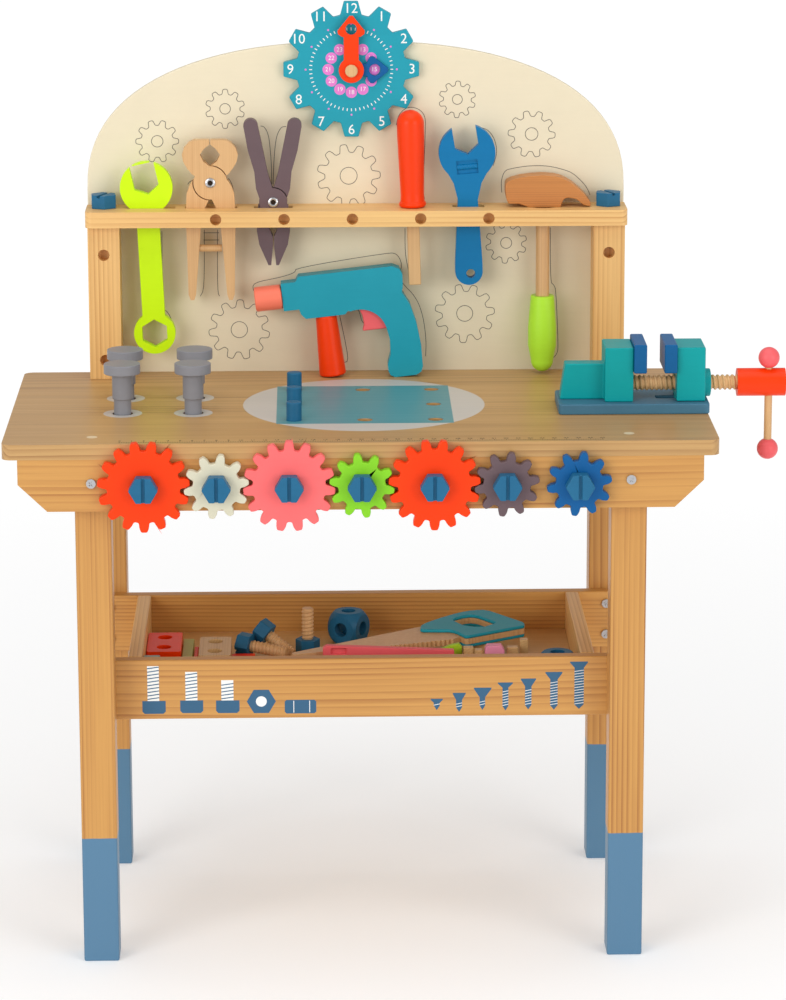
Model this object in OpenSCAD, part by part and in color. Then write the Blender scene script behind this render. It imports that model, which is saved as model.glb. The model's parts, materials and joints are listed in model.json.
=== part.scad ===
// A child's wooden workbench: table with a tray, toothed wheels along the apron,
// an arched back panel with a clock and a tool shelf, a vise, pegs and wooden tools.
// X runs to the right, Y to the back and Z up. The origin is on the floor,
// straight below the centre of the worktop.

/* [Bench] */
// Width of the worktop
top_w = 594; // [580:1:720]
// Depth of the worktop
top_d = 289; // [260:1:360]
// Thickness of the worktop
top_t = 13; // [10:0.5:17]
// Height of the worktop's upper face
bench_h = 457; // [380:1:560]
// Corner radius of the worktop
top_r = 8; // [3:1:16]
// Side of a leg's square section
leg_s = 30; // [25:1:38]
// How far the legs stand in from the worktop's ends
leg_inset = 58.5; // [50:0.5:66]
// How far the back legs stand out behind the panel
leg_lip = 3; // [0:0.5:8]

/* [Aprons and rails] */
// Height of the aprons
apron_h = 44; // [38:1:56]
// Thickness of the aprons
apron_t = 17; // [14:0.5:21]
// How far the front apron stands in from the worktop's ends
apron_inset = 13; // [8:1:20]
// How far its face stands in from the worktop's front edge
apron_setback = 0.5; // [0.5:0.5:1.5]
// Width of the cut-off lower corners
chamfer_w = 24; // [12:1:30]
// Height of the cut-off lower corners
chamfer_h = 23; // [12:1:30]
// Thickness of the side rails
rail_t = 18; // [14:1:22]

/* [Tray] */
// Height of the tray's boards
board_h = 52; // [42:1:64]
// Thickness of the tray's boards
board_t = 12; // [9:0.5:15]
// Height of the tray above the floor
tray_z = 206; // [170:1:220]
// Gap between a side board and the leg beside it
tray_gap = 10; // [6:1:14]
// Height of the tray's floor panel above the boards' lower edge
tray_floor_up = 13.5; // [6:0.5:18]
// Thickness of the tray's floor panel
tray_floor_t = 4; // [3:0.5:6]

/* [Back] */
// Thickness of the back panel
panel_t = 8; // [6:0.5:10]
// How far the panel's sides stand in from the legs' outer faces
panel_inset = 0.5; // [0:0.5:3]
// Height of the panel's straight sides above the worktop
panel_side_h = 165; // [150:1:200]
// Rise of the panel's arch
arch_h = 130.5; // [110:0.5:150]
// Roundness of the arch: 2 is an ellipse, and more is squarer
arch_n = 2.35; // [2:0.05:3]
// Width of a post
post_w = 28; // [24:1:34]
// Depth of a post
post_d = 31.5; // [26:0.5:34]
// Height of the shelf's underside above the worktop
shelf_h = 137.5; // [130:0.5:165]
// Thickness of the shelf
shelf_t = 14; // [12:0.5:17]
// Depth of the shelf
shelf_d = 42.5; // [41:0.5:51]
// Corner radius of the shelf's front
shelf_r = 6; // [2:0.5:10]
// Diameter of the sockets in the shelf and posts
socket_d = 10; // [8:0.5:11]
// Depth of those sockets
socket_deep = 12; // [8:0.5:13]

/* [Worktop pegs] */
// Distance between peg holes
grid = 60; // [50:1:66]
// Diameter of a hammer peg's head
peg_head_d = 31; // [26:0.5:37]
// Thickness of that head
peg_head_t = 8.5; // [6:0.5:11]
// Diameter of its upper shank
peg_d = 17.3; // [14:0.1:20]
// Diameter of its lower shank
peg_low_d = 14.7; // [12:0.1:17]
// Height of the head's top above the worktop
peg_up = 43.5; // [36:0.5:50]
// Diameter of a small peg
small_peg_d = 13; // [10:0.5:15]
// Height of a small peg above the worktop
small_peg_up = 16; // [12:0.5:20]

/* [Toothed wheels] */
// Pitch diameter for each tooth
gear_module = 4.8; // [4:0.1:5.8]
// Thickness of a wheel
gear_t = 8.5; // [7:0.5:11]
// Distance of the wheels' centres below the worktop's upper face
gear_down = 35; // [33:0.5:38]
// Number of teeth on each wheel, from the left
gear_teeth = [15, 10, 15, 10, 15, 10, 10];
// Angle of one tooth on each wheel, clockwise from the top
gear_phase = [12, 9, 0, 27, 12, 9, 9];

/* [Toy bolts] */
// Width of a bolt's head across its flats
bolt_af = 21; // [18:0.5:24]
// Thickness of a bolt's head
bolt_head_t = 12; // [9:0.5:15]
// Diameter of a bolt's shank
bolt_d = 11.9; // [9.9:0.1:13.9]
// Width of the screwdriver slot
bolt_slot_w = 2.8; // [2:0.1:4]
// Width of a loose bolt's head across its flats
loose_af = 19; // [17:0.5:22]
// Diameter of a loose bolt's shank
loose_d = 10.8; // [9.8:0.1:11.8]
// Length of the standing loose bolt's shank
loose_bolt_l = 28; // [22:1:34]

/* [Clock] */
// Radius of the dial at its tooth tips
clock_r = 60; // [50:1:66]
// Radius of the dial between its teeth
clock_root_r = 48.4; // [42:0.2:50]
// Thickness of the dial
clock_t = 8; // [6:0.5:8.5]
// Height of the clock's centre above the worktop
clock_up = 272; // [262:1:290]
// How far the clock stands to the right of the middle
clock_x = -4; // [-8:0.5:8]
// Length of the minute hand
minute_l = 48; // [40:1:52]
// Length of the hour hand
hour_l = 32.5; // [26:0.5:40]
// Thickness of a hand
hand_t = 3.5; // [2.5:0.5:4]

/* [Vise] */
// Length of the base plate
vise_base_l = 129; // [118:1:140]
// Depth of the base plate
vise_base_d = 61; // [54:1:72]
// Thickness of the base plate
vise_base_t = 9; // [7:0.5:12]
// Thickness of a jaw
jaw_t = 24.5; // [20:0.5:29]
// Depth of a jaw
jaw_d = 41; // [34:1:48]
// Height of a jaw
jaw_h = 47; // [44:1:56]
// Thickness of a jaw's pad
pad_t = 11; // [8:0.5:13]
// Opening between the pads
vise_open = 15; // [8:0.5:18]
// Diameter over the screw's thread
screw_d = 13.3; // [11:0.1:14.5]
// Distance between the screw's threads
screw_pitch = 4.2; // [3.5:0.1:5]
// Length of screw showing right of the sliding jaw's collar
screw_out = 23; // [18:0.5:30]
// Diameter of the vise handle's hub
hub_d = 24; // [20:0.5:26]
// Length of the hub
hub_l = 41.5; // [36:0.5:50]
// Diameter of the handle bar
bar_d = 6.7; // [5:0.1:8]
// Distance between the centres of the two knobs
bar_l = 80; // [66:1:92]
// Diameter of a knob
knob_d = 18.3; // [14:0.1:20]

/* [Tools] */
// Thickness of the flat tools
tool_t = 10; // [8:0.5:12]
// Thickness of the drill's body
drill_t = 16; // [13:0.5:19]
// Gap between a flat tool's faces and its slot
slot_gap = 0.3; // [0.2:0.1:1]

/* [Hidden] */
$fn = 64;
eps = 0.01;
run_gap = 0.05; // radial gap of a running fit
face_gap = 0.4; // gap between faces that pass each other

// Frame
leg_out = top_w/2 - leg_inset;
leg_in = leg_out - leg_s;
leg_mid = leg_out - leg_s/2;
leg_h = bench_h - top_t;
front_y = -top_d/2 + apron_setback + apron_t;
panel_y = top_d/2;
back_y = panel_y + panel_t + leg_lip - leg_s;
apron_y = -top_d/2 + apron_setback;
apron_z = leg_h - apron_h;
apron_half = top_w/2 - apron_inset;
under_z = leg_h;

// Tray
tray_side_out = leg_in - tray_gap;
tray_front_y = front_y + leg_s;
tray_back_y = back_y - board_t;
tray_floor_z = tray_z + tray_floor_up;
tray_top_z = tray_floor_z + tray_floor_t;

// Back
post_inset = 1.5;
post_out = leg_out - post_inset;
post_x = post_out - post_w/2;
post_y = panel_y - post_d;
shelf_z = bench_h + shelf_h;
shelf_top = shelf_z + shelf_t;
shelf_y = panel_y - shelf_d;
tool_y = shelf_y + shelf_d/2 + 4.5;
driver_y = shelf_y + shelf_d/2; // its thick handle passes in front of the dial
socket_pitch = 60;
socket_shift = -4;
post_socket_up = [17, 111.5];

// Worktop: the hammer pegs' corner and the building board's centre
peg_corner = [-202, -27];
board_centre = [4, 2.5];
peg_gap = run_gap;
peg_step_up = 13;
peg_below = 25;
small_peg_gap = 0.1;

// Wheels and bolts
gear_z = bench_h - gear_down;
gear_big = 15;
gear_small = 10;
gear_pitch = gear_module*(gear_big + gear_small)/2;
gear_back = -top_d/2 - 0.5;
gear_front = gear_back - gear_t;
pressure = 25;
backlash = 1.2;
head_y = gear_front - 0.5;
bolt_slot_deep = 2.5;
shelf_bolt_y = panel_y - post_d/2;

// Clock
clock_z = bench_h + clock_up;
clock_front = panel_y - clock_t;
hour_y = clock_front - face_gap - hand_t;
minute_y = hour_y - face_gap - hand_t;
clock_pin_d = 6;
clock_cap_d = 11;
clock_cap_t = 4;

// Vise
vise_right = top_w/2 + 1.3;
vise_left = vise_right - vise_base_l;
vise_y = -16.5;
vise_z = bench_h + vise_base_t;
slide_right = vise_right - 3.3;
slide_left = slide_right - jaw_t;
pad_right = slide_left - pad_t;
pad_left = pad_right - vise_open;
fixed_right = pad_left - pad_t;
fixed_left = fixed_right - jaw_t;
axis_z = vise_z + 12.5;
collar_t = 6;
hub_left = slide_right + collar_t + screw_out;
pad_d = 50;
pad_h = 25;
pad_up = 25.5;
slide_gap = 0.3;
tongue_w = 10;
tongue_deep = 5;
wedge_d = 16;
wedge_h = 31;
wedge_lean = 4.5;
bar_x = hub_left + hub_l - 14;
bar_top = axis_z + hub_d/2 + knob_d/2 + 0.1;

// Tools: place of each on the shelf and what passes through it
spanner_af = bolt_af + 0.8;
spanner_at = [-185.2, 32];
ring_r = 18.4;
spanner_tilt = -2.4;
pincers_at = [-128.8, 36.5];
pliers_at = [-73.6, 19.1];
driver_at = [49.5, shelf_t];
wrench_at = [97.5, 66];
hammer_at = [165, 0];
grip_d = 25.3;
shaft_d = 12;
blade_w = 11;
blade_t = 6;
lap_r = 14.8;
plier_lap_r = 12.4;
lap_gap = 0.3; // between the faces of a half lap
rim_gap = 0.9; // round the edge of a half lap
rivet_d = 5;
rivet_cap_d = 9.5;
rivet_cap_t = 1.6;
drill_at = [43.6, bench_h];
drill_y = panel_y - 23;
drill_tilt = 6.2;
trigger_t = 9;
trigger_travel = 3;

// ---- helpers ----

module box(low, high) {
    translate(low) cube(high - low);
}

// A flat piece drawn in X and Z, with its front face at y and its thickness behind it
module upright(y, t) {
    translate([0, y + t, 0]) rotate([90, 0, 0]) linear_extrude(t) children();
}

// A cylinder along Y, from y to the back
module rod_y(at, l, d) {
    translate(at) rotate([-90, 0, 0]) cylinder(h = l, d = d);
}

// A cylinder along X, from x to the right
module rod_x(at, l, d) {
    translate(at) rotate([0, 90, 0]) cylinder(h = l, d = d);
}

module rounded(w, h, r) {
    square([w - 2*r, h], center = true);
    square([w, h - 2*r], center = true);
    for (sx = [-1, 1], sy = [-1, 1])
        translate([sx*(w/2 - r), sy*(h/2 - r)]) circle(r);
}

// ---- table ----

module legs() color("burlywood") {
    for (s = [-1, 1], y = [front_y, back_y])
        translate([s*leg_mid - leg_s/2, y, 0]) cube([leg_s, leg_s, leg_h]);
}

module worktop() color("burlywood") difference() {
    translate([0, 0, under_z]) linear_extrude(top_t) rounded(top_w, top_d, top_r);
    for (i = [0, 1], j = [0, 1])
        translate([peg_corner.x + i*grid, peg_corner.y + j*grid, under_z - 1])
            cylinder(h = top_t + 2, d = peg_d + 2*peg_gap);
    for (i = [-1, 0, 1], j = [-1, 0, 1]) if (i != 0 || j != 0)
        translate([board_centre.x + i*grid, board_centre.y + j*grid, under_z - 1])
            cylinder(h = top_t + 2, d = small_peg_d + 2*small_peg_gap);
}

module front_apron() color("burlywood") difference() {
    upright(apron_y, apron_t) polygon([[-apron_half, under_z], [-apron_half, apron_z + chamfer_h],
        [-apron_half + chamfer_w, apron_z], [apron_half - chamfer_w, apron_z],
        [apron_half, apron_z + chamfer_h], [apron_half, under_z]]);
    for (i = [0:6])
        rod_y([gear_x(i), apron_y - 1, gear_z], apron_t + 2, bolt_d + 2*run_gap);
}

module back_apron() color("burlywood")
    box([-leg_out, back_y - apron_t, apron_z], [leg_out, back_y, under_z]);

module side_rails() color("burlywood") for (s = [-1, 1])
    translate([s*leg_mid - rail_t/2, tray_front_y, apron_z])
        cube([rail_t, back_y - apron_t - tray_front_y, apron_h]);

module tray_boards() color("burlywood") for (y = [tray_front_y, tray_back_y])
    box([-leg_out, y, tray_z], [leg_out, y + board_t, tray_z + board_h]);

module tray_sides() color("burlywood") for (s = [-1, 1])
    translate([s*(tray_side_out - board_t/2) - board_t/2, tray_front_y + board_t, tray_z])
        cube([board_t, tray_back_y - tray_front_y - board_t, board_h]);

module tray_bottom() color("burlywood")
    box([board_t - tray_side_out, tray_front_y + board_t, tray_floor_z],
        [tray_side_out - board_t, tray_back_y, tray_top_z]);

// ---- back ----

module back_posts() color("burlywood") for (s = [-1, 1]) difference() {
    translate([s*post_x - post_w/2, post_y, bench_h]) cube([post_w, post_d, shelf_h]);
    for (up = post_socket_up)
        rod_y([s*post_x, post_y - 1, bench_h + up], socket_deep + 1, socket_d);
    translate([s*post_x, shelf_bolt_y, shelf_z - 20])
        cylinder(h = 21, d = bolt_d + 2*run_gap);
}

module tool_shelf() color("burlywood") difference() {
    union() {
        box([-leg_out, shelf_y + shelf_r, shelf_z], [leg_out, panel_y, shelf_top]);
        box([shelf_r - leg_out, shelf_y, shelf_z], [leg_out - shelf_r, panel_y, shelf_top]);
        for (s = [-1, 1]) translate([s*(leg_out - shelf_r), shelf_y + shelf_r, shelf_z])
            cylinder(h = shelf_t, r = shelf_r);
    }
    for (i = [-2:2])
        rod_y([socket_shift + i*socket_pitch, shelf_y - 1, shelf_z + shelf_t/2],
            socket_deep + 1, socket_d);
    for (s = [-1, 1]) translate([s*post_x, shelf_bolt_y, shelf_z - 1])
        cylinder(h = shelf_t + 2, d = bolt_d + 2*run_gap);
    slot(spanner_at.x + 4.95, 2*ring_r + 4, tool_t);
    slot(pincers_at.x + 0.4, 46, tool_t);
    slot(pliers_at.x, 34, tool_t);
    slot(driver_at.x + 1, blade_w + 2, blade_t, driver_y);
    slot(wrench_at.x + 1.5, 28, tool_t);
    translate([hammer_at.x, tool_y, shelf_z - 1]) cylinder(h = shelf_t + 2, d = grip_d + 2.4);
}

// A slot through the shelf for a tool of width w and thickness t
module slot(x, w, t, y = tool_y) {
    box([x - w/2, y - t/2 - slot_gap, shelf_z - 1], [x + w/2, y + t/2 + slot_gap, shelf_top + 1]);
}

module back_panel() color("antiquewhite") {
    half = leg_out - panel_inset;
    spring_z = bench_h + panel_side_h;
    steps = 48;
    arch = [for (i = [0:steps]) let (a = 180*i/steps, c = cos(a))
        [half*sign(c)*pow(abs(c), 2/arch_n), spring_z + arch_h*pow(sin(a), 2/arch_n)]];
    upright(panel_y, panel_t) polygon(concat([[half, under_z]], arch, [[-half, under_z]]));
}

screw_head_d = 8;
screw_head_t = 2.2;
screw_cross = [4.4, 1.2];
tray_screw_up = [12.5, 41];

// A pan-headed screw whose head stands on the face at `at` and looks to the front
module pan_screw(at) {
    difference() {
        rod_y([at.x, at.y - screw_head_t, at.z], screw_head_t, screw_head_d);
        for (turn = [45, 135]) translate([at.x, at.y - screw_head_t, at.z]) rotate([0, turn, 0])
            cube([screw_cross.x, 2*screw_cross.y, screw_cross.y], center = true);
    }
}

module frame_screws() color("silver") for (s = [-1, 1]) {
    pan_screw([s*max(leg_mid, gear_x(6) + gear_tip(gear_big) + screw_head_d/2 + 1), apron_y, gear_z + 2]);
    for (up = tray_screw_up) pan_screw([s*leg_mid, tray_back_y, tray_z + up]);
    for (up = tray_screw_up) mirror([0, 1, 0])
        pan_screw([s*leg_mid, -tray_front_y - board_t, tray_z + up]);
}

// ---- toy bolts and toothed wheels ----

// A bolt along +Z: the hexagonal head below z = 0, slotted from below, and the shank above
module toy_bolt(l, af = bolt_af, d = bolt_d) {
    difference() {
        translate([0, 0, -bolt_head_t]) cylinder(h = bolt_head_t, d = af/cos(30), $fn = 6);
        translate([-bolt_slot_w/2, -af, -bolt_head_t - 1])
            cube([bolt_slot_w, 2*af, bolt_slot_deep + 1]);
    }
    cylinder(h = l, d = d);
}

function gear_x(i) = gear_pitch*(i - 3);

module toy_bolts() color("steelblue") {
    for (i = [0:6]) translate([gear_x(i), head_y, gear_z]) rotate([-90, 0, 0])
        toy_bolt(apron_y + apron_t - head_y);
    for (s = [-1, 1]) translate([s*post_x, shelf_bolt_y, shelf_top]) rotate([180, 0, 25*s])
        toy_bolt(shelf_t + 18);
}

// Point of an involute of the base circle rb, unrolled by t degrees
function involute(rb, t) = rb*[cos(t) + t*PI/180*sin(t), sin(t) - t*PI/180*cos(t)];
function turned(p, a) = [p.x*cos(a) - p.y*sin(a), p.x*sin(a) + p.y*cos(a)];
function unroll(rb, r) = sqrt(r*r/(rb*rb) - 1)*180/PI;

// One flank from root to tip, for the side s of a tooth whose middle is at angle a
function flank(n, a, s) = let (
    rp = gear_module*n/2, rb = rp*cos(pressure), ra = gear_tip(n), rr = gear_root(n),
    half = 90/n - backlash/(2*rp)*180/PI/2 + (tan(pressure)*180/PI - pressure),
    steps = 5)
    concat([turned([rr, 0], a + s*(half + 1.2)), turned([rb*1.002, 0], a + s*half)],
        [for (k = [1:steps]) let (
            t = unroll(rb, rb + (ra - rb)*k/steps), p = involute(rb, t))
            turned([p.x, -s*p.y], a + s*half)]);
function gear_tip(n) = gear_module*n/2 + (n > 12 ? 2.3 : 3.2)*gear_module/4.8;
function gear_root(n) = gear_module*n/2 - (n > 12 ? 5.7 : 4.2)*gear_module/4.8;
function reversed(v) = [for (i = [len(v) - 1:-1:0]) v[i]];

module gear(i) {
    n = gear_teeth[i];
    outline = [for (k = [0:n - 1]) let (a = 90 - gear_phase[i] + 360*k/n)
        each concat(flank(n, a, -1), reversed(flank(n, a, 1)))];
    translate([gear_x(i), 0, gear_z]) difference() {
        upright(gear_front, gear_t) polygon(outline);
        rod_y([0, gear_front - 1, 0], gear_t + 2, bolt_d + 2*run_gap);
    }
}

module gear_1() color("orangered") gear(0);
module gear_2() color("antiquewhite") gear(1);
module gear_3() color("salmon") gear(2);
module gear_4() color("yellowgreen") gear(3);
module gear_5() color("orangered") gear(4);
module gear_6() color("dimgray") gear(5);
module gear_7() color("steelblue") gear(6);

// ---- clock ----

module clock_dial() color("steelblue") {
    teeth = 12;
    tip_half = 5.9;
    base_half = 11.3;
    outline = [for (k = [0:teeth - 1]) let (a = 90 - 360*k/teeth)
        each [turned([clock_root_r, 0], a + base_half), turned([clock_r, 0], a + tip_half),
            turned([clock_r, 0], a - tip_half), turned([clock_root_r, 0], a - base_half)]];
    translate([clock_x, 0, clock_z]) difference() {
        upright(clock_front, clock_t) polygon(outline);
        rod_y([0, clock_front - 1, 0], clock_t + 2, clock_pin_d + 2*run_gap);
    }
}

module clock_peg() color("burlywood") {
    rod_y([clock_x, minute_y - face_gap - clock_cap_t, clock_z], clock_cap_t, clock_cap_d);
    rod_y([clock_x, minute_y - face_gap - eps, clock_z],
        panel_y - minute_y + face_gap + eps, clock_pin_d);
}

// A hand pointing up: a disc round the pin, an arm and a rounded triangular head with a hole
module hand(y, l, disc_d, arm_w, head_w, hole_d) {
    r = 4;
    low = l - head_w*0.77;
    half = head_w/2;
    translate([clock_x, 0, clock_z]) difference() {
        union() {
            rod_y([0, y, 0], hand_t, disc_d);
            upright(y, hand_t) polygon([[-arm_w/2, 0], [arm_w/2, 0], [arm_w/2, low], [half - r, low],
                [half - 0.5, low + r*0.6], [half, low + r*1.3], [r*0.9, l - r*0.7], [r*0.4, l - 0.1],
                [-r*0.4, l - 0.1], [-r*0.9, l - r*0.7], [-half, low + r*1.3], [-half + 0.5, low + r*0.6],
                [r - half, low], [-arm_w/2, low]]);
        }
        rod_y([0, y - 1, 0], hand_t + 2, clock_pin_d + 2*run_gap);
        rod_y([0, y - 1, low + half*0.57], hand_t + 2, hole_d);
    }
}

module minute_hand() color("orangered") hand(minute_y, minute_l, 22, 13.2, 24, 10);

module hour_hand() color("steelblue") translate([clock_x, 0, clock_z]) rotate([0, 90, 0])
    translate([-clock_x, 0, -clock_z]) hand(hour_y, hour_l, 20, 11, 24, 10);

// ---- worktop pegs ----

module hammer_peg(i, j) color("gray") translate([peg_corner.x + i*grid, peg_corner.y + j*grid, bench_h]) {
    translate([0, 0, peg_up - peg_head_t]) cylinder(h = peg_head_t, d = peg_head_d);
    translate([0, 0, peg_step_up]) cylinder(h = peg_up - peg_head_t - peg_step_up + eps, d = peg_d);
    translate([0, 0, -peg_below]) cylinder(h = peg_below + peg_step_up + eps, d = peg_low_d);
}
module hammer_peg_1() hammer_peg(0, 0);
module hammer_peg_2() hammer_peg(1, 0);
module hammer_peg_3() hammer_peg(0, 1);
module hammer_peg_4() hammer_peg(1, 1);

module small_pegs() color("steelblue") for (j = [-1, 0, 1])
    translate([board_centre.x - grid, board_centre.y + j*grid, under_z])
        cylinder(h = top_t + small_peg_up, d = small_peg_d);

// ---- vise ----

module vise_base() color("slategray") difference() {
    translate([(vise_left + vise_right)/2, vise_y + 1, bench_h]) linear_extrude(vise_base_t)
        rounded(vise_base_l, vise_base_d, 4);
    box([slide_left - vise_open - 1, vise_y - tongue_w/2 - slide_gap, vise_z - tongue_deep - slide_gap],
        [slide_right + 1, vise_y + tongue_w/2 + slide_gap, vise_z + 1]);
}

module jaw(left) {
    box([left, vise_y - jaw_d/2, vise_z], [left + jaw_t, vise_y + jaw_d/2, vise_z + jaw_h]);
}

// The screw's end runs in a blind bore, deep enough for the vise to close
module vise_fixed_jaw() color("teal") difference() {
    union() {
        jaw(fixed_left);
        upright(vise_y - wedge_d/2, wedge_d) polygon([[vise_left + 2, vise_z], [fixed_left + 1, vise_z],
            [fixed_left + 1, vise_z + wedge_h], [vise_left + 2 + wedge_lean, vise_z + wedge_h]]);
    }
    rod_x([fixed_right - screw_in - vise_open - 1, vise_y, axis_z], screw_in + vise_open + 2,
        screw_d + 2*run_gap);
}

module pad(left) color("steelblue")
    box([left, vise_y - pad_d/2 - 0.5, vise_z + pad_up], [left + pad_t, vise_y + pad_d/2 - 0.5, vise_z + pad_up + pad_h]);
module vise_fixed_pad() pad(fixed_right);
module vise_sliding_pad() pad(pad_right);

module vise_sliding_jaw() color("teal") difference() {
    union() {
        box([slide_left, vise_y - jaw_d/2, vise_z + slide_gap],
            [slide_right, vise_y + jaw_d/2, vise_z + jaw_h]);
        box([slide_left, vise_y - tongue_w/2, vise_z - tongue_deep],
            [slide_right, vise_y + tongue_w/2, vise_z + slide_gap + eps]);
        rod_x([slide_right - eps, vise_y, axis_z], collar_t + eps, hub_d);
    }
    rod_x([slide_left - 1, vise_y, axis_z], jaw_t + collar_t + 2, screw_d + 2*run_gap);
}

screw_low_d = screw_d - 2.6;
screw_in = 13; // length of screw in the fixed jaw

// The screw: ridges at the pitch of the thread, and a plain end in the hub
module vise_screw() color("tan") {
    start = fixed_right - screw_in;
    ridge_start = start + 1;
    ridges = floor((hub_left - ridge_start - 0.5)/screw_pitch);
    r = screw_d/2;
    low = screw_low_d/2;
    finish = hub_left + hub_l/2 - 2;
    profile = concat([[0, start], [low, start]],
        [for (k = [0:ridges - 1]) let (x = ridge_start + k*screw_pitch)
            each [[low, x], [r, x + screw_pitch*0.28], [r, x + screw_pitch*0.5],
                [low, x + screw_pitch*0.78]]],
        [[low, finish], [0, finish]]);
    translate([0, vise_y, axis_z]) rotate([0, 90, 0]) rotate_extrude() polygon(profile);
}

module vise_hub() color("orangered") difference() {
    rod_x([hub_left, vise_y, axis_z], hub_l, hub_d);
    rod_x([hub_left - 1, vise_y, axis_z], hub_l/2, screw_low_d);
    translate([bar_x, vise_y, axis_z - hub_d]) cylinder(h = 2*hub_d, d = bar_d + 2*run_gap);
}

module vise_bar() color("tan")
    translate([bar_x, vise_y, bar_top - bar_l - 4]) cylinder(h = bar_l + 8, d = bar_d);

module vise_knobs() color("lightcoral") for (z = [bar_top, bar_top - bar_l])
    translate([bar_x, vise_y, z]) difference() {
        sphere(d = knob_d);
        translate([0, 0, z == bar_top ? -knob_d : -4]) cylinder(h = knob_d + 4, d = bar_d);
    }

// ---- tools on the shelf ----

// Stands a tool at its place on the shelf, in the middle of its slot
module on_shelf(at, t, tilt, y = tool_y) {
    translate([at.x, y - t/2, shelf_z + at.y]) rotate([0, tilt, 0]) children();
}

module spanner() color("greenyellow") on_shelf(spanner_at, tool_t, spanner_tilt) {
    head_r = 23.2;
    down = 130.5;
    handle_w = 20;
    mouth_tilt = 10;
    difference() {
        upright(0, tool_t) union() {
            circle(head_r);
            translate([-handle_w/2, -down]) square([handle_w, down]);
            translate([0, -down]) circle(ring_r);
        }
        translate([0.5, 0, 0]) rotate([0, -mouth_tilt, 0]) upright(-1, tool_t + 2) polygon([
            [-spanner_af/2, spanner_af], [-spanner_af/2, spanner_af*0.02],
            [0, -spanner_af*0.27], [spanner_af/2, spanner_af*0.02], [spanner_af/2, spanner_af]]);
        translate([0, -1, -down]) rotate([-90, 0, 0]) rotate([0, 0, 30])
            cylinder(h = tool_t + 2, d = spanner_af/cos(30), $fn = 6);
    }
}

// One half of a two-piece tool with a half lap round the rivet: arms of full thickness
// outside the lap, and a half-thickness disc in the lap, in front or at the back
module lapped(t, r, front) {
    lap_y = front ? t/2 : 0;
    difference() {
        union() {
            difference() {
                upright(0, t) children();
                rod_y([0, lap_y - (front ? 0 : 1), 0], t/2 + 1, 2*(r + rim_gap));
            }
            rod_y([0, front ? 0 : t/2 + lap_gap/2, 0], t/2 - lap_gap/2, 2*r);
        }
        rod_y([0, -1, 0], t + 2, rivet_d + 2*run_gap);
    }
}

module rivet(t) {
    rod_y([0, -rivet_cap_t, 0], rivet_cap_t, rivet_cap_d);
    rod_y([0, -eps, 0], t + 2*eps, rivet_d);
    rod_y([0, t, 0], rivet_cap_t, rivet_cap_d);
}

// Jaw on the left and handle on the right, in one outline
module pincer_outline() polygon([[-0.4, 37.8], [-13.5, 37.8], [-18.5, 35.5], [-22.6, 31], [-24.6, 25],
    [-23.6, 19], [-20.2, 13], [-16.3, 8], [-9, 3], [0.6, -13.5], [5, -22.5], [9, -42], [13.8, -100],
    [15.4, -105], [18.6, -105], [20.4, -100], [21.6, -42], [21.6, -22], [20.9, -9.5], [18.4, -2.8],
    [15.6, 2], [9, 4], [-0.5, 14.8], [-6, 19], [-8.8, 24.8], [-5.4, 30], [-0.4, 34]]);

module pincers_right() color("burlywood") on_shelf(pincers_at, tool_t, 0)
    lapped(tool_t, lap_r, true) pincer_outline();
module pincers_left() color("burlywood") on_shelf(pincers_at, tool_t, 0) {
    lapped(tool_t, lap_r, false) mirror([1, 0]) pincer_outline();
    dowel_d = 6.3;
    rod_x([-11, tool_t/2, -59], 20.5, dowel_d);
}
module pincers_rivet() color("silver") on_shelf(pincers_at, tool_t, 0) rivet(tool_t);

// Handle at the upper left and jaw at the lower right, in one outline
module plier_outline() {
    translate([-19.3, 67.5]) circle(6.3);
    polygon([[-25.6, 67.5], [-21.9, 46], [-16.4, 27], [-15, 12], [-12, 3], [-2, -6], [2.6, -18],
        [3.6, -24], [0.6, -31], [0.6, -40], [2.2, -56.5], [4.6, -56.5], [12.6, -38], [14.6, -26],
        [14.4, -14], [13.2, -3], [9, 0], [-0.8, 13], [-4.5, 25.4], [-9, 48.3], [-13, 67.5]]);
}

module pliers_left() color("dimgray") on_shelf(pliers_at, tool_t, 0)
    lapped(tool_t, plier_lap_r, true) plier_outline();
module pliers_right() color("dimgray") on_shelf(pliers_at, tool_t, 0)
    lapped(tool_t, plier_lap_r, false) mirror([1, 0]) plier_outline();
module pliers_rivet() color("silver") on_shelf(pliers_at, tool_t, 0) rivet(tool_t);

driver_tilt = -1.5;

module screwdriver_handle() color("orangered") on_shelf(driver_at, 0, driver_tilt, driver_y) {
    h = 86.5;
    top_radius = 12;
    rotate_extrude() difference() {
        union() {
            translate([0, h - top_radius]) circle(top_radius);
            polygon([[0, 5], [10.7, 5], [10.4, 12], [top_radius, h - top_radius - 12],
                [top_radius, h - top_radius], [0, h - top_radius]]);
            translate([9.2, 3.1]) circle(2.8);
            translate([0, 0.3]) square([9.2, 5.6]);
        }
        translate([-50, -1]) square([50, h + 2]);
    }
}

module screwdriver_blade() color("tan") on_shelf(driver_at, blade_t, driver_tilt, driver_y)
    box([-blade_w/2, 0, -69.5], [blade_w/2, blade_t, 0.3]);

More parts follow.
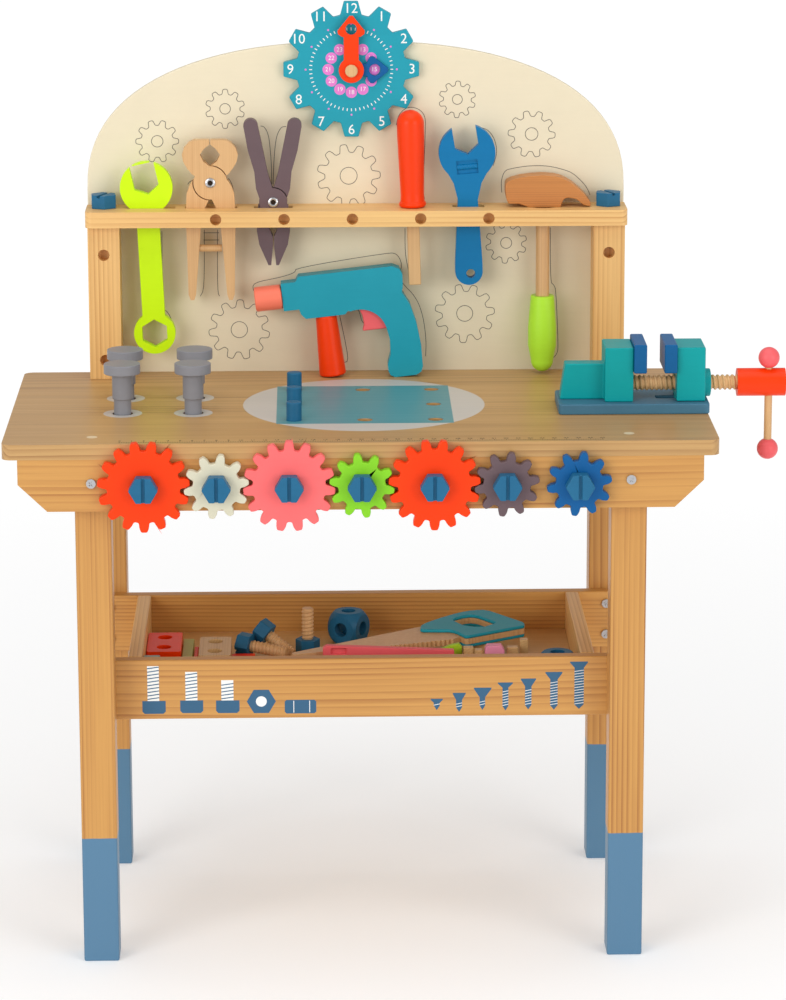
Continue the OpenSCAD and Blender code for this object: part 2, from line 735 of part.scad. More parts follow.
module adjustable_wrench() color("royalblue") on_shelf(wrench_at, tool_t, -1) {
    head_r = 25;
    mouth_w = 21;
    low = -110;
    difference() {
        upright(0, tool_t) union() {
            translate([0, -4]) circle(head_r);
            polygon([[-20, -17], [-12.3, -31], [-8.8, -46], [-10.2, -70], [-12, -100], [-12.2, low],
                [12.2, low], [12, -100], [10.2, -70], [8.8, -46], [12.3, -31], [20, -17]]);
            translate([0, low]) circle(12.2);
        }
        rotate([0, -8, 0]) upright(-1, tool_t + 2) polygon([[-mouth_w/2, head_r + 2],
            [-mouth_w/2, 1], [0, -5.6], [mouth_w/2, 1.8], [mouth_w/2, head_r + 2]]);
        translate([0, -1, -16.5]) rotate([0, -4, 0]) box([-9.4, 0, -6], [9.4, 3, 6]);
        rod_y([1.5, -1, low - 2], tool_t + 2, 8);
    }
    // the adjusting worm in its window
    translate([0, 2.6, -16.5]) rotate([0, -4, 0]) rod_x([-9, 0, 0], 18, 5);
}

module hammer_head() color("sienna") translate([hammer_at.x, 0, shelf_top]) difference() {
    head_t = 20;
    upright(tool_y - head_t/2, head_t) polygon([[-33.4, 20.6], [-33.7, 15.6], [-33.4, 10.6],
        [-32.3, 5.8], [-30.6, 3.3], [-21.4, 3.2], [-12.8, 0], [15, 0], [15.7, 2.3], [17.3, 6.1],
        [19, 7.9], [22.3, 8.5], [29, 7.1], [35.1, 2.2], [39, 0.8], [41.8, 1.2], [41.5, 4.6],
        [37.3, 10.3], [31.7, 15.9], [23.9, 22.1], [16.1, 26.2], [9.4, 27.8], [-0.5, 28.6],
        [-11.6, 27.9], [-20.4, 26.7], [-28.2, 24.6], [-32, 22.7]]);
    translate([0, tool_y, -1]) cylinder(h = 20, d = shaft_d);
}

module hammer_shaft() color("peru")
    translate([hammer_at.x, tool_y, bench_h + 20]) cylinder(h = shelf_top + 18 - bench_h - 20, d = shaft_d);

module hammer_grip() color("greenyellow") translate([hammer_at.x, tool_y, bench_h + 1.8]) {
    h = 69;
    difference() {
        rotate_extrude() difference() {
            union() {
                translate([0, 10]) scale([1, 1]) circle(10);
                polygon([[0, 10], [10, 10], [grip_d/2, 24], [grip_d/2, 40], [10.4, h], [0, h]]);
            }
            translate([-50, -1]) square([50, h + 2]);
        }
        translate([0, 0, 20 - 1.8]) cylinder(h = h, d = shaft_d);
    }
}

// ---- drill, standing on the worktop ----

// X runs along the barrel from the chuck to the grip, and the grip's foot is at z = 0
module at_drill() {
    translate([drill_at.x, drill_y, drill_at.y + drill_lift]) rotate([0, -drill_tilt, 0]) children();
}

drill_lift = 10*sin(drill_tilt) + 0.02; // the grip's front corner rests on the worktop
chuck_z = 82.5;
chuck_d = 22;
chuck_l = 24;
nose_x = -101.5;
spigot_d = 8;

module drill_outline() {
    difference() {
        polygon([[nose_x, chuck_z - 12], [nose_x, chuck_z + 13], [-88.5, chuck_z + 13],
            [-85.5, chuck_z + 17.5], [-2, chuck_z + 17.5], [4, chuck_z + 14.5], [6.5, chuck_z + 9],
            [5.5, 80], [4, 76], [10, 64], [14, 47], [16, 26], [15.5, 7], [13.6, 2.5], [9, 0], [-10, 0],
            [-14, 2.2], [-15.5, 6], [-15.5, 12], [-12, 21], [-11, 34], [-13, 46], [-45, chuck_z - 18],
            [-48, chuck_z - 21], [-83, chuck_z - 21], [-86.5, chuck_z - 17], [-88, chuck_z - 12]]);
        translate([-36.5, 40.5]) circle(24);
    }
}

// The trigger's outline, moved back by m and grown by c
module trigger_outline(m, c) {
    translate([m, 0]) polygon([[-36 - c, 66 + c], [-33 - c, 58], [-32.5 - c, 50], [-34.5 - c, 44 - c],
        [-8 + c, 44 - c], [-8 + c, 66 + c]]);
}

module drill_body() color("teal") at_drill() difference() {
    upright(-drill_t/2, drill_t) drill_outline();
    upright(-trigger_t/2 - face_gap/2, trigger_t + face_gap) union() {
        trigger_outline(0, 0.3);
        trigger_outline(trigger_travel, 0.3);
    }
    rod_x([nose_x - 1, 0, chuck_z], 17, spigot_d + 2*run_gap);
}

module drill_chuck() color("salmon") at_drill() {
    rod_x([nose_x - face_gap - chuck_l, 0, chuck_z], chuck_l, chuck_d);
    rod_x([nose_x - face_gap - eps, 0, chuck_z], 15, spigot_d);
}

module drill_trigger() color("salmon") at_drill()
    upright(-trigger_t/2, trigger_t) trigger_outline(0, 0);

module drill_side_handle() color("orangered") at_drill() {
    top_z = chuck_z - 21;
    handle_d = 24;
    handle_x = -65;
    foot_z = ((handle_d/2 - handle_x)*sin(drill_tilt) - drill_lift)/cos(drill_tilt) + 0.02;
    translate([handle_x, 0, foot_z]) cylinder(h = top_z - foot_z, d1 = handle_d, d2 = 18.5);
}

// ---- loose things in the tray ----

saw_t = 5;
saw_plate_t = 3;
saw_z = tray_top_z + 17.1 + saw_plate_t;

module saw_grip() {
    polygon([[52.7, 17], [53.7, 28.8], [56.9, 35.7], [62.2, 42.6], [72.7, 54.9], [83.2, 65.5],
        [91.1, 72.4], [99, 76.9], [105.4, 78.6], [111.2, 78.9], [116.8, 75.3], [144.1, 37.4],
        [145.4, 32.7], [144.7, 25.7], [94.3, -6.3], [91.2, -6.2], [88.9, -1.5], [84.8, 6.9],
        [81.2, 11.6], [77.6, 13.6], [55, 14.4]]);
}
module saw_opening()
    polygon([[82.3, 46.6], [85.3, 52.6], [91.9, 59], [99, 62.1], [105.2, 58.6], [111.8, 48.9],
        [120.1, 36.8], [118.6, 33.6], [109.3, 23.2], [99.3, 24], [91.9, 28.4], [86.6, 37]]);

module saw_blade() color("tan") translate([0, 0, saw_z]) {
    teeth = 16;
    first = [18, -27];
    last = [82, -5];
    step = (last - first)/teeth;
    side = [step.y, -step.x]/norm(step);
    edge = [for (k = [0:teeth - 1]) each [first + k*step, first + (k + 0.5)*step + 2.4*side]];
    difference() {
        union() {
            linear_extrude(saw_t) saw_grip();
            linear_extrude(saw_t) polygon(concat([[60, 39.5], [-57, -42.5], [-60, -46], [-58, -50]],
                edge, [[last.x, last.y], [88, 2]]));
        }
        translate([0, 0, -1]) linear_extrude(saw_t + 2) saw_opening();
    }
}

module saw_handle() color("teal") for (z = [saw_z - saw_plate_t, saw_z + saw_t])
    translate([0, 0, z]) linear_extrude(saw_plate_t) difference() {
        saw_grip();
        saw_opening();
    }

tray_in = tray_side_out - board_t; // inner face of a side board

// A loose bolt, shank to the right, turned by yaw about Z and dipping by pitch
module lying_bolt(at, l, yaw, pitch) {
    translate([at.x, at.y, tray_top_z + at.z]) rotate([0, 0, yaw]) rotate([0, 90 + pitch, 0])
        rotate([0, 0, 30]) toy_bolt(l, loose_af, loose_d);
}

module loose_bolts() color("steelblue") {
    translate([-46, 46, tray_top_z + bolt_head_t]) toy_bolt(loose_bolt_l, loose_af, loose_d);
    lying_bolt([91 - tray_in, 18.7, 13.5], 34, -22.3, 5.1);
    lying_bolt([106.1 - tray_in, 29.4, 19.8], 27, -25.2, 32.3);
}

nut_s = 29;
nut_at = [[-9.5, 76], [tray_in - nut_s/2 - 3.5, tray_front_y + board_t + nut_s/2 + 8]];

// A cube nut with cut corners and a hole through each pair of faces
module cube_nut() {
    difference() {
        intersection() {
            cube(nut_s, center = true);
            sphere(r = nut_s*0.66);
        }
        cylinder(h = nut_s + 2, d = bolt_d + 0.6, center = true);
        rotate([90, 0, 0]) cylinder(h = nut_s + 2, d = bolt_d + 0.6, center = true);
        rotate([0, 90, 0]) cylinder(h = nut_s + 2, d = bolt_d + 0.6, center = true);
    }
}

module loose_nuts() color("steelblue") {
    translate([nut_at[0].x, nut_at[0].y, tray_top_z + nut_s/2]) rotate([0, 0, 60]) cube_nut();
    translate([nut_at[1].x, nut_at[1].y, tray_top_z + nut_s/2]) cube_nut();
}

// A flat strip with two holes, lying at height z
module two_hole_strip(x, y, z, w, l, t) {
    translate([x, y, z]) difference() {
        linear_extrude(t) rounded(w, l, 3);
        for (s = [-1, 1]) translate([0, s*l/4, -1]) cylinder(h = t + 2, d = bolt_d + 0.6);
    }
}

module loose_strips() color("orangered") {
    low = tray_top_z;
    left = -tray_in;
    two_hole_strip(left + 15.5, 9, low, 30, 62, 20.5);
    two_hole_strip(left + 60, -5, low, 28, 60, 20.5);
    box([left + 31, -18, low], [left + 40.5, 42, low + 14]);
    box([left + 41.5, -30, low], [left + 45, 20, low + 13]);
    box([left + 0.5, -76, low], [left + 14.5, -68, low + 31]);
    box([left + 74.5, -40, low], [left + 94.5, 6, low + 10.4]);
    // a tapered piece with a recess
    difference() {
        upright(-54, 7) polygon([[-33, low], [80, low], [80, low + 28.5], [-30, low + 33.5], [-33, low + 31]]);
        box([-26, -55, low + 26], [-12.5, -51, low + 31]);
    }
    upright(-40, 6) polygon([[68.8, low], [87.4, low], [87.4, low + 27], [84.9, low + 30.3],
        [78.1, low + 29], [68.8, low + 25.4]]);
    upright(-50, 10) polygon([[106.7, low], [123.6, low], [123.6, low + 26.5], [120.9, low + 30.9],
        [108.5, low + 30.8], [106.7, low + 27]]);
    box([88.5, -45, low], [97, -37, low + 28]);
    box([98, -48, low], [105, -40, low + 26.5]);
    box([126, -42, low], [136, -34, low + 27]);
    box([138, -32, low], [145, -24, low + 31]);
    // packing under the saw
    box([98, 4, low], [112, 20, low + 17]);
    box([-40, -36, low], [-24, -28, low + 19.5]);
}

legs();
worktop();
front_apron();
back_apron();
side_rails();
tray_boards();
tray_sides();
tray_bottom();
back_posts();
tool_shelf();
back_panel();
frame_screws();
toy_bolts();
clock_dial();
clock_peg();
minute_hand();
hour_hand();
gear_1();
gear_2();
gear_3();
gear_4();
gear_5();
gear_6();
gear_7();
hammer_peg_1();
hammer_peg_2();
hammer_peg_3();
hammer_peg_4();
small_pegs();
vise_base();
vise_fixed_jaw();
vise_fixed_pad();
vise_sliding_jaw();
vise_sliding_pad();
vise_screw();
vise_hub();
vise_bar();
vise_knobs();
spanner();
pincers_left();
pincers_right();
pincers_rivet();
pliers_left();
pliers_right();
pliers_rivet();
screwdriver_handle();
screwdriver_blade();
adjustable_wrench();
hammer_head();
hammer_shaft();
hammer_grip();
drill_body();
drill_chuck();
drill_trigger();
drill_side_handle();
saw_blade();
saw_handle();
loose_bolts();
loose_nuts();
loose_strips();
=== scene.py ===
import json
import math
import bmesh
import bpy
import numpy as np
from mathutils import Matrix


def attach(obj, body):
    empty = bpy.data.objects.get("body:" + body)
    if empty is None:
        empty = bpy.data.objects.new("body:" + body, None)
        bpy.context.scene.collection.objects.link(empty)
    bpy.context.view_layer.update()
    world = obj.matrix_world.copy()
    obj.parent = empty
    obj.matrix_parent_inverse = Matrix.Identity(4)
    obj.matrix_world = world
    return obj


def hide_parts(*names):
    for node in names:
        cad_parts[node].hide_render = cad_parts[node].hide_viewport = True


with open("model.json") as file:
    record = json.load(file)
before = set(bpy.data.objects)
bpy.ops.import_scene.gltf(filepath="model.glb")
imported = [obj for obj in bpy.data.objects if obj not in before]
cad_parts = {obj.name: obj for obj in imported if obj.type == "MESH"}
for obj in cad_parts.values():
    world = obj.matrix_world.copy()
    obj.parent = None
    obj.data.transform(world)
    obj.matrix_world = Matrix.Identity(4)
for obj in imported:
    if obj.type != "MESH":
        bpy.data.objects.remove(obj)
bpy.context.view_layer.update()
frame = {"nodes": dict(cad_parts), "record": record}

record = frame["record"]
bodyOf = {node: body for body, nodes in record["behaviour"]["bodies"].items() for node in nodes}
slotOf = {part["node"]: part["material_slot"] for part in record["subparts"]}
mm = 0.001
print("frame loaded:", len(bodyOf), "nodes")



# a value in a material; arithmetic on it adds Math nodes
class Socket:
    def __init__(self, tree, out):
        self.tree, self.out = tree, out

    def math(self, operation, *values):
        made = self.tree.nodes.new("ShaderNodeMath")
        made.operation = operation
        for place, value in zip(made.inputs, values):
            if isinstance(value, Socket):
                self.tree.links.new(value.out, place)
            else:
                place.default_value = value
        return Socket(self.tree, made.outputs[0])

    def __add__(self, other): return self.math("ADD", self, other)
    def __radd__(self, other): return self.math("ADD", other, self)
    def __sub__(self, other): return self.math("SUBTRACT", self, other)
    def __rsub__(self, other): return self.math("SUBTRACT", other, self)
    def __mul__(self, other): return self.math("MULTIPLY", self, other)
    def __rmul__(self, other): return self.math("MULTIPLY", other, self)
    def __truediv__(self, other): return self.math("DIVIDE", self, other)
    def __rtruediv__(self, other): return self.math("DIVIDE", other, self)
    def __pow__(self, other): return self.math("POWER", self, other)
    def fract(self): return self.math("FRACT", self)
    def size(self): return self.math("ABSOLUTE", self)
    def least(self, other): return self.math("MINIMUM", self, other)
    def most(self, other): return self.math("MAXIMUM", self, other)

    # 0 below the edge and 1 above it, with a soft step of that width
    def above(self, edge, width):
        return ((self - edge) / width + 0.5).least(1).most(0)


# "#rrggbb" as the linear colour that a shader takes
def tint(code, gain=1.0):
    parts = [int(code[i:i + 2], 16) / 255 for i in (1, 3, 5)]
    return [gain * (c / 12.92 if c <= 0.04045 else ((c + 0.055) / 1.055) ** 2.4) for c in parts] + [1.0]


# one material: its tree, its object coordinates and its shader
class Finish:
    def __init__(self, name, **constants):
        self.material = bpy.data.materials.new(name)
        self.material.use_nodes = True
        self.tree = self.material.node_tree
        self.shader = self.tree.nodes["Principled BSDF"]
        for key, value in constants.items():
            self.shader.inputs[key.replace("_", " ")].default_value = value

    def node(self, kind, settings=None, values=None, out=0):
        made = self.tree.nodes.new(kind)
        for key, value in (settings or {}).items():
            if key == "stops":
                while len(made.color_ramp.elements) < len(value):
                    made.color_ramp.elements.new(0.5)
                for element, (position, color) in zip(made.color_ramp.elements, value):
                    element.position, element.color = position, color
            else:
                setattr(made, key, value)
        for key, value in (values or {}).items():
            if isinstance(value, Socket):
                self.tree.links.new(value.out, made.inputs[key])
            else:
                made.inputs[key].default_value = value
        return Socket(self.tree, made.outputs[out])

    def place(self, scale=(1, 1, 1), turn=(0, 0, 0), shift=(0, 0, 0)):
        where = self.node("ShaderNodeTexCoord", out="Object")
        return self.node("ShaderNodeMapping", values={"Vector": where, "Location": shift, "Rotation": turn,
                                                      "Scale": scale})

    def axes(self):
        where = self.node("ShaderNodeTexCoord", out="Object")
        split = self.node("ShaderNodeSeparateXYZ", values={0: where})
        return [Socket(self.tree, split.out.node.outputs[i]) for i in range(3)]

    def noise(self, where, scale, detail=2.0, rough=0.5, twist=0.0):
        return self.node("ShaderNodeTexNoise", values={"Vector": where, "Scale": scale, "Detail": detail,
                                                       "Roughness": rough, "Distortion": twist})

    def mix(self, factor, a, b, kind="MIX"):
        return self.node("ShaderNodeMix", {"data_type": "RGBA", "blend_type": kind, "clamp_factor": True},
                         {0: factor, 6: a, 7: b}, out=2)

    def bump(self, height, strength, distance, under=None):
        values = {"Strength": strength, "Distance": distance, "Height": height}
        if under is not None:
            values["Normal"] = under
        return self.node("ShaderNodeBump", values=values)

    def surface(self, **links):
        for key, value in links.items():
            self.tree.links.new(value.out, self.shader.inputs[key.replace("_", " ")])
        return self.material


woodLook = {
    "pine": {"light": "#D39C51", "dark": "#95541B", "ring": 0.0034, "bend": 0.042, "depth": 0.70},
    # a lighter copy of the pine: painted light that makes up for the shade on boards under the shelf and
    # worktop
    "pinePaintedLight": {"light": "#F2C57F", "dark": "#BE7F3A", "ring": 0.0034, "bend": 0.042, "depth": 0.60},
    "worktop": {"light": "#C99F64", "dark": "#8A5A28", "ring": 0.0030, "bend": 0.040, "depth": 0.70},
    "beech": {"light": "#DDB27C", "dark": "#B47A40", "ring": 0.0019, "bend": 0.010, "depth": 0.42},
    "blade": {"light": "#DDB67C", "dark": "#AE7A3E", "ring": 0.0022, "bend": 0.012, "depth": 0.45},
    "hammer": {"light": "#C6803C", "dark": "#8A4C1C", "ring": 0.0019, "bend": 0.010, "depth": 0.5},
}


# sawn wood: growth rings are steps of the distance from the tree's heart, which runs along the grain through
# the point heart and wavers; each ring darkens slowly and is then cut off, as late wood is, and some bands of
# rings are paler. Fibres are a fine noise drawn out along the grain
def woodColor(finish, look, grain, heart=(0, 0, 0)):
    values = woodLook[look]
    stretch = [1.0, 1.0, 1.0]
    stretch["xyz".index(grain)] = 0.10
    waver = finish.noise(finish.place(scale=stretch, shift=heart), 5.0, detail=1.5, rough=0.4) - 0.5
    a, b = [axis - heart[i] for i, axis in enumerate(finish.axes()) if "xyz"[i] != grain]
    distance = (a ** 2 + b ** 2) ** 0.5 + waver * values["bend"]
    season = distance / values["ring"]
    stretch["xyz".index(grain)] = 0.03
    band = finish.noise(finish.place(scale=stretch, shift=heart), 110, detail=1)
    ring = season.fract() ** 2.2 * ((band - 0.3) * 2.4).least(1).most(0)
    stretch["xyz".index(grain)] = 0.02
    fibre = finish.noise(finish.place(scale=stretch, shift=heart), 340, detail=3, rough=0.6)
    cloud = finish.noise(finish.place(shift=heart), 3.2, detail=1)
    amount = ring * values["depth"] * (0.55 + 0.9 * cloud) + (fibre - 0.5) * 0.5 + (cloud - 0.5) * 0.4 + 0.14
    return finish.mix(amount.least(1).most(0), tint(values["light"]), tint(values["dark"])), ring, fibre


def wood(name, look, grain, heart=(0, 0, 0), paintBelow=None, gloss=0.38):
    finish = Finish(name, Coat_Roughness=0.3, Coat_IOR=1.45)
    color, ring, fibre = woodColor(finish, look, grain, heart)
    if paintBelow:
        height = finish.axes()[2] + (finish.noise(finish.place(), 60, detail=2) - 0.5) * 0.0012
        color = finish.mix(height.above(paintBelow["height"], 0.0006), tint(paintBelow["color"]), color)
    return finish.surface(Base_Color=color, Roughness=gloss + 0.14 * fibre, Coat_Weight=0.12 + 0.08 * ring,
                          Normal=finish.bump(fibre * 0.7 + ring * 0.3, 0.22, 0.00035))


# paint on turned or milled wood: faint cloudy colour, fine orange peel and the grain telegraphing through
def paint(name, code, rough=0.42, cloud=0.10, grain="x"):
    finish = Finish(name, Coat_Roughness=0.25, Coat_IOR=1.5, Specular_IOR_Level=0.18)
    stretch = [1.0, 1.0, 1.0]
    stretch["xyz".index(grain)] = 0.06
    fibre = finish.noise(finish.place(scale=stretch), 420, detail=2)
    patch = finish.noise(finish.place(), 38, detail=3, rough=0.6)
    shade = ((patch - 0.5) * 1.1 + (fibre - 0.5) * 0.5 + 0.5).least(1).most(0)
    color = finish.mix(shade, tint(code, 1 - cloud), tint(code, 1 + cloud))
    peel = finish.noise(finish.place(), 900, detail=1)
    return finish.surface(Base_Color=color, Roughness=rough + 0.12 * (patch - 0.5),
                          Coat_Weight=0.04 + 0.06 * patch,
                          Normal=finish.bump(fibre * 0.6 + peel * 0.4, 0.18, 0.00022))


def metal(name, code, rough):
    finish = Finish(name, Metallic=1.0)
    smear = finish.noise(finish.place(), 700, detail=3)
    return finish.surface(Base_Color=finish.mix(smear, tint(code, 0.8), tint(code)),
                          Roughness=rough + 0.2 * smear,
                          Normal=finish.bump(smear, 0.1, 0.0001))


# flat ink or screen print
def ink(name, code, rough=0.55):
    finish = Finish(name)
    speck = finish.noise(finish.place(), 1500, detail=2)
    return finish.surface(Base_Color=finish.mix(speck, tint(code, 0.88), tint(code, 1.08)),
                          Roughness=rough + 0.1 * speck)


legPaint = {"height": 0.110, "color": "#4F7B9B"}

# the worktop's printed marks, in metres
boardPrint = {"centre": (0.004, 0.0025), "circle": 0.104, "half": 0.075, "circleColor": "#C9C9C6",
              "squareColor": "#1F8A96",
              "pegs": (-0.172, 0.003), "pegReach": 0.030, "pegRing": 0.0165, "plugs": (0.2235, -0.117)}


def worktopFinish():
    finish = Finish("worktopPrinted", Coat_Roughness=0.3, Coat_IOR=1.45)
    color, ring, fibre = woodColor(finish, "worktop", "x", (0, 0.06, 0.30))
    x, y, z = finish.axes()
    top = z.above(0.4565, 0.0004)
    cx, cy = boardPrint["centre"]
    fromCentre = (((x - cx) ** 2) + ((y - cy) ** 2)) ** 0.5
    circle = (1 - fromCentre.above(boardPrint["circle"], 0.0004)) * top
    square = (1 - (x - cx).size().most((y - cy).size()).above(boardPrint["half"], 0.0004)) * top
    px, py = boardPrint["pegs"]
    reach = boardPrint["pegReach"]
    fromPeg = ((((x - px).size() - reach) ** 2) + (((y - py).size() - reach) ** 2)) ** 0.5
    rings = (1 - fromPeg.above(boardPrint["pegRing"], 0.0004)) * top
    gx, gy = boardPrint["plugs"]
    plug = (1 - ((((x.size() - gx) ** 2) + ((y - gy) ** 2)) ** 0.5).above(0.0045, 0.0004)) * top
    worn = 0.93 + 0.07 * fibre
    color = finish.mix((circle.most(rings)) * worn * 0.86, color, tint(boardPrint["circleColor"]))
    color = finish.mix(square * worn * 0.92, color, tint(boardPrint["squareColor"]))
    color = finish.mix(plug * 0.7, color, tint("#E9D9B5"))
    return finish.surface(Base_Color=color, Roughness=0.36 + 0.14 * fibre, Coat_Weight=0.15 + 0.08 * ring,
                          Normal=finish.bump(fibre * 0.7 + ring * 0.3, 0.18, 0.0003))


panelCream = paint("panelCream", "#E4D8BC", rough=0.5, cloud=0.03, grain="x")
finishes = {
    "legs": wood("pineLegs", "pine", "z", (0.55, -0.42, 0), legPaint),
    "worktop": worktopFinish(),
    "front_apron": wood("pineFrontApron", "pine", "x", (0.05, 0.05, 0.28)),
    "back_apron": wood("pineBackApron", "pine", "x", (0.7, -0.1, 0.6)),
    "side_rails": wood("pineRails", "pine", "y", (0.2, 0.4, 0.1)),
    "tray_boards": wood("pineTrayBoards", "pine", "x", (0.13, 0.10, 0.10)),
    # the tray sides, posts and shelf take the lighter pine copy as painted light, since they sit in shade
    # under the worktop and shelf
    "tray_sides": wood("pineTraySides", "pinePaintedLight", "y", (0.5, 0.2, 0.1)),
    "tray_bottom": wood("plyTrayBottom", "blade", "x", (0.9, 0.5, 0.3)),
    "back_posts": wood("pinePosts", "pinePaintedLight", "z", (0.8, 0.6, 0.2)),
    "tool_shelf": wood("pineShelf", "pinePaintedLight", "x", (0.4, 0.25, 0.42)),
    "drill_chuck": paint("salmonChuck", "#FF8268", 0.36, 0.04),
    "back_panel": panelCream,
    "frame_screws": metal("screwSteel", "#C9C9CB", 0.22),
}
slotFinish = {
    "bolt_blue": paint("boltBlue", "#22658A", 0.45, 0.12),
    "clock_teal": paint("teal", "#2199AC", 0.42, 0.05),
    "beech": wood("beechClear", "beech", "z", (0.1, 0.2, 0.3)),
    "orange": paint("orange", "#F53C00", 0.36, 0.05),
    "hand_blue": paint("deepBlue", "#075A96", 0.42, 0.08),
    "cream": paint("creamWheel", "#D5D0B8", 0.5, 0.04),
    "pink": paint("pink", "#F86E6E", 0.42, 0.04),
    "lime": paint("limeGreen", "#86D028", 0.42, 0.05),
    "mauve": paint("mauve", "#69565A", 0.5, 0.08),
    "peg_gray": paint("pegGray", "#898A90", 0.42, 0.05),
    "vise_turquoise": paint("viseTurquoise", "#009C9E", 0.42, 0.06),
    "vise_slate": paint("viseSlate", "#44728A", 0.45, 0.10),
    "pad_blue": paint("padBlue", "#075C94", 0.42, 0.08),
    "coral": paint("coral", "#F3666A", 0.34, 0.05),
    "spanner_yellow": paint("spannerYellow", "#CBF60C", 0.42, 0.04),
    "wrench_blue": paint("wrenchBlue", "#0672A8", 0.42, 0.07),
    "hammer_brown": wood("hammerBrown", "hammer", "x", (0.4, 0.1, 0.2)),
    "grip_lime": paint("gripLime", "#B6EE3C", 0.30, 0.04),
    "steel": metal("rivetSteel", "#D2D2D4", 0.18),
}
extra = {
    "threadWood": wood("threadWood", "beech", "z", (0.6, 0.3, 0.8), gloss=0.5),
    "outline": ink("outlineInk", "#5E5850"),
    "white": ink("whiteInk", "#F1F2EE"),
    "pinkInk": ink("pinkInk", "#E27BCB"),
    "slateInk": ink("slateInk", "#2E5E80"),
    "rulerInk": ink("rulerInk", "#5D4E33"),
    # near-black paint put inside hollows: painted shade for the dark inside of a deep hole
    "dark": paint("socketPaintedShade", "#2A1D12", 0.8),
    "packing": wood("packingWood", "blade", "y", (0.2, 0.7, 0.1)),
    "lime": paint("limeStrip", "#A6CE2B", 0.45, 0.06),
    "green": paint("greenStrip", "#B7C06A", 0.45, 0.06),
    "gray": paint("grayStrip", "#8FA39B", 0.45, 0.06),
    "red": paint("redStrip", "#E8442A", 0.42, 0.06),
    "coral": paint("coralStrip", "#F0646A", 0.42, 0.05),
    "pink": paint("pinkStrip", "#F39AB8", 0.42, 0.05),
}
print("materials ready:", len(finishes) + len(slotFinish) + len(extra))


def finishFor(node):
    return finishes.get(node) or slotFinish[slotOf[node]]



def addPiece(name, mesh, finish, body, node=None, bevel=0.0, steps=3, angle=32):
    mesh.materials.clear()
    mesh.materials.append(finish)
    mesh.polygons.foreach_set("use_smooth", np.ones(len(mesh.polygons), bool))
    piece = bpy.data.objects.new(name, mesh)
    bpy.context.scene.collection.objects.link(piece)
    if bevel:
        rounding = piece.modifiers.new("edges", "BEVEL")
        rounding.width = bevel
        rounding.segments = steps
        rounding.limit_method = "ANGLE"
        rounding.angle_limit = math.radians(angle)
        rounding.harden_normals = True
        rounding.use_clamp_overlap = True
        rounding.miter_outer = "MITER_ARC"
    else:
        mesh.set_sharp_from_angle(angle=math.radians(angle))
    if node:
        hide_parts(node)
    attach(piece, body)
    return piece


# the triangles of a CAD node as arrays: corners (n, 3) and triangles (m, 3)
def nodeArrays(node):
    mesh = frame["nodes"][node].data
    corners = np.empty(len(mesh.vertices) * 3)
    mesh.vertices.foreach_get("co", corners)
    triangles = np.empty(len(mesh.loops), int)
    mesh.loops.foreach_get("vertex_index", triangles)
    return corners.reshape(-1, 3), triangles.reshape(-1, 3)


# a closed mesh from arrays, with doubles merged, and flat neighbours joined so that a bevel sees only
# real edges
def solidMesh(name, corners, faces, join=True, recalculate=False):
    mesh = bpy.data.meshes.new(name)
    mesh.from_pydata(np.asarray(corners).tolist(), [], [list(map(int, f)) for f in faces])
    work = bmesh.new()
    work.from_mesh(mesh)
    bmesh.ops.remove_doubles(work, verts=work.verts, dist=2e-6)
    if recalculate:
        bmesh.ops.recalc_face_normals(work, faces=work.faces)
    if join:
        bmesh.ops.dissolve_limit(work, angle_limit=math.radians(0.4), verts=work.verts, edges=work.edges)
    work.to_mesh(mesh)
    work.free()
    return mesh


# a CAD node's own shape with rounded edges; inside keeps only the triangles whose middles it accepts
def softened(node, bevel, finish=None, inside=None, name=None, steps=3, angle=32):
    corners, triangles = nodeArrays(node)
    if inside is not None:
        triangles = triangles[inside(corners[triangles])]
    used, index = np.unique(triangles, return_inverse=True)
    mesh = solidMesh(name or node + "Soft", corners[used], index.reshape(-1, 3))
    return addPiece(name or node + "Soft", mesh, finish or finishFor(node), bodyOf[node], node, bevel=bevel,
                    steps=steps, angle=angle)


# keeps the triangles whose middle lies between two corners given in mm
def within(low, high):
    low, high = np.array(low) * mm, np.array(high) * mm
    return lambda t: np.all((t.mean(axis=1) > low) & (t.mean(axis=1) < high), axis=1)


# two directions at right angles to an axis
def across(axis):
    axis = np.array(axis, float) / np.linalg.norm(axis)
    side = np.cross(axis, (0, 0, 1) if abs(axis[2]) < 0.9 else (1, 0, 0))
    side /= np.linalg.norm(side)
    return axis, side, np.cross(axis, side)


# quads between the rows of a grid whose second direction closes on itself, and whose ends are shut by the
# first and last rows lying at one point each
def ringFaces(rows, around):
    u, v = np.meshgrid(np.arange(rows - 1), np.arange(around), indexing="ij")
    a, b = u * around + v, u * around + (v + 1) % around
    return np.stack([a, b, b + around, a + around], axis=-1).reshape(-1, 4)


# surface of revolution: each profile point (distance along the axis, radius) sweeps a circle; all in mm
def turned(name, profile, origin, axis, finish, body, node=None, bevel=0.0, around=72, steps=3):
    profile = np.array(profile, float)
    if profile[0, 1] > 0:
        profile = np.vstack([[profile[0, 0], 0], profile])
    if profile[-1, 1] > 0:
        profile = np.vstack([profile, [profile[-1, 0], 0]])
    line, side, up = across(axis)
    angles = np.linspace(0, 2 * np.pi, around, endpoint=False)
    ring = np.cos(angles)[:, None] * side + np.sin(angles)[:, None] * up
    points = np.array(origin) + profile[:, 0, None, None] * line + profile[:, 1, None, None] * ring
    mesh = solidMesh(name, points.reshape(-1, 3) * mm, ringFaces(len(profile), around), recalculate=True)
    return addPiece(name, mesh, finish, body, node, bevel=bevel * mm, steps=steps, angle=24)


# smooth profile: straight lines between points with their corners eased by repeated averaging
def eased(points, rounds=3):
    points = np.array(points, float)
    for _ in range(rounds):
        near = points[:-1] * 0.75 + points[1:] * 0.25
        far = points[:-1] * 0.25 + points[1:] * 0.75
        middle = np.stack([near, far], axis=1).reshape(-1, 2)
        points = np.vstack([points[:1], middle[1:-1], points[-1:]])
    return points


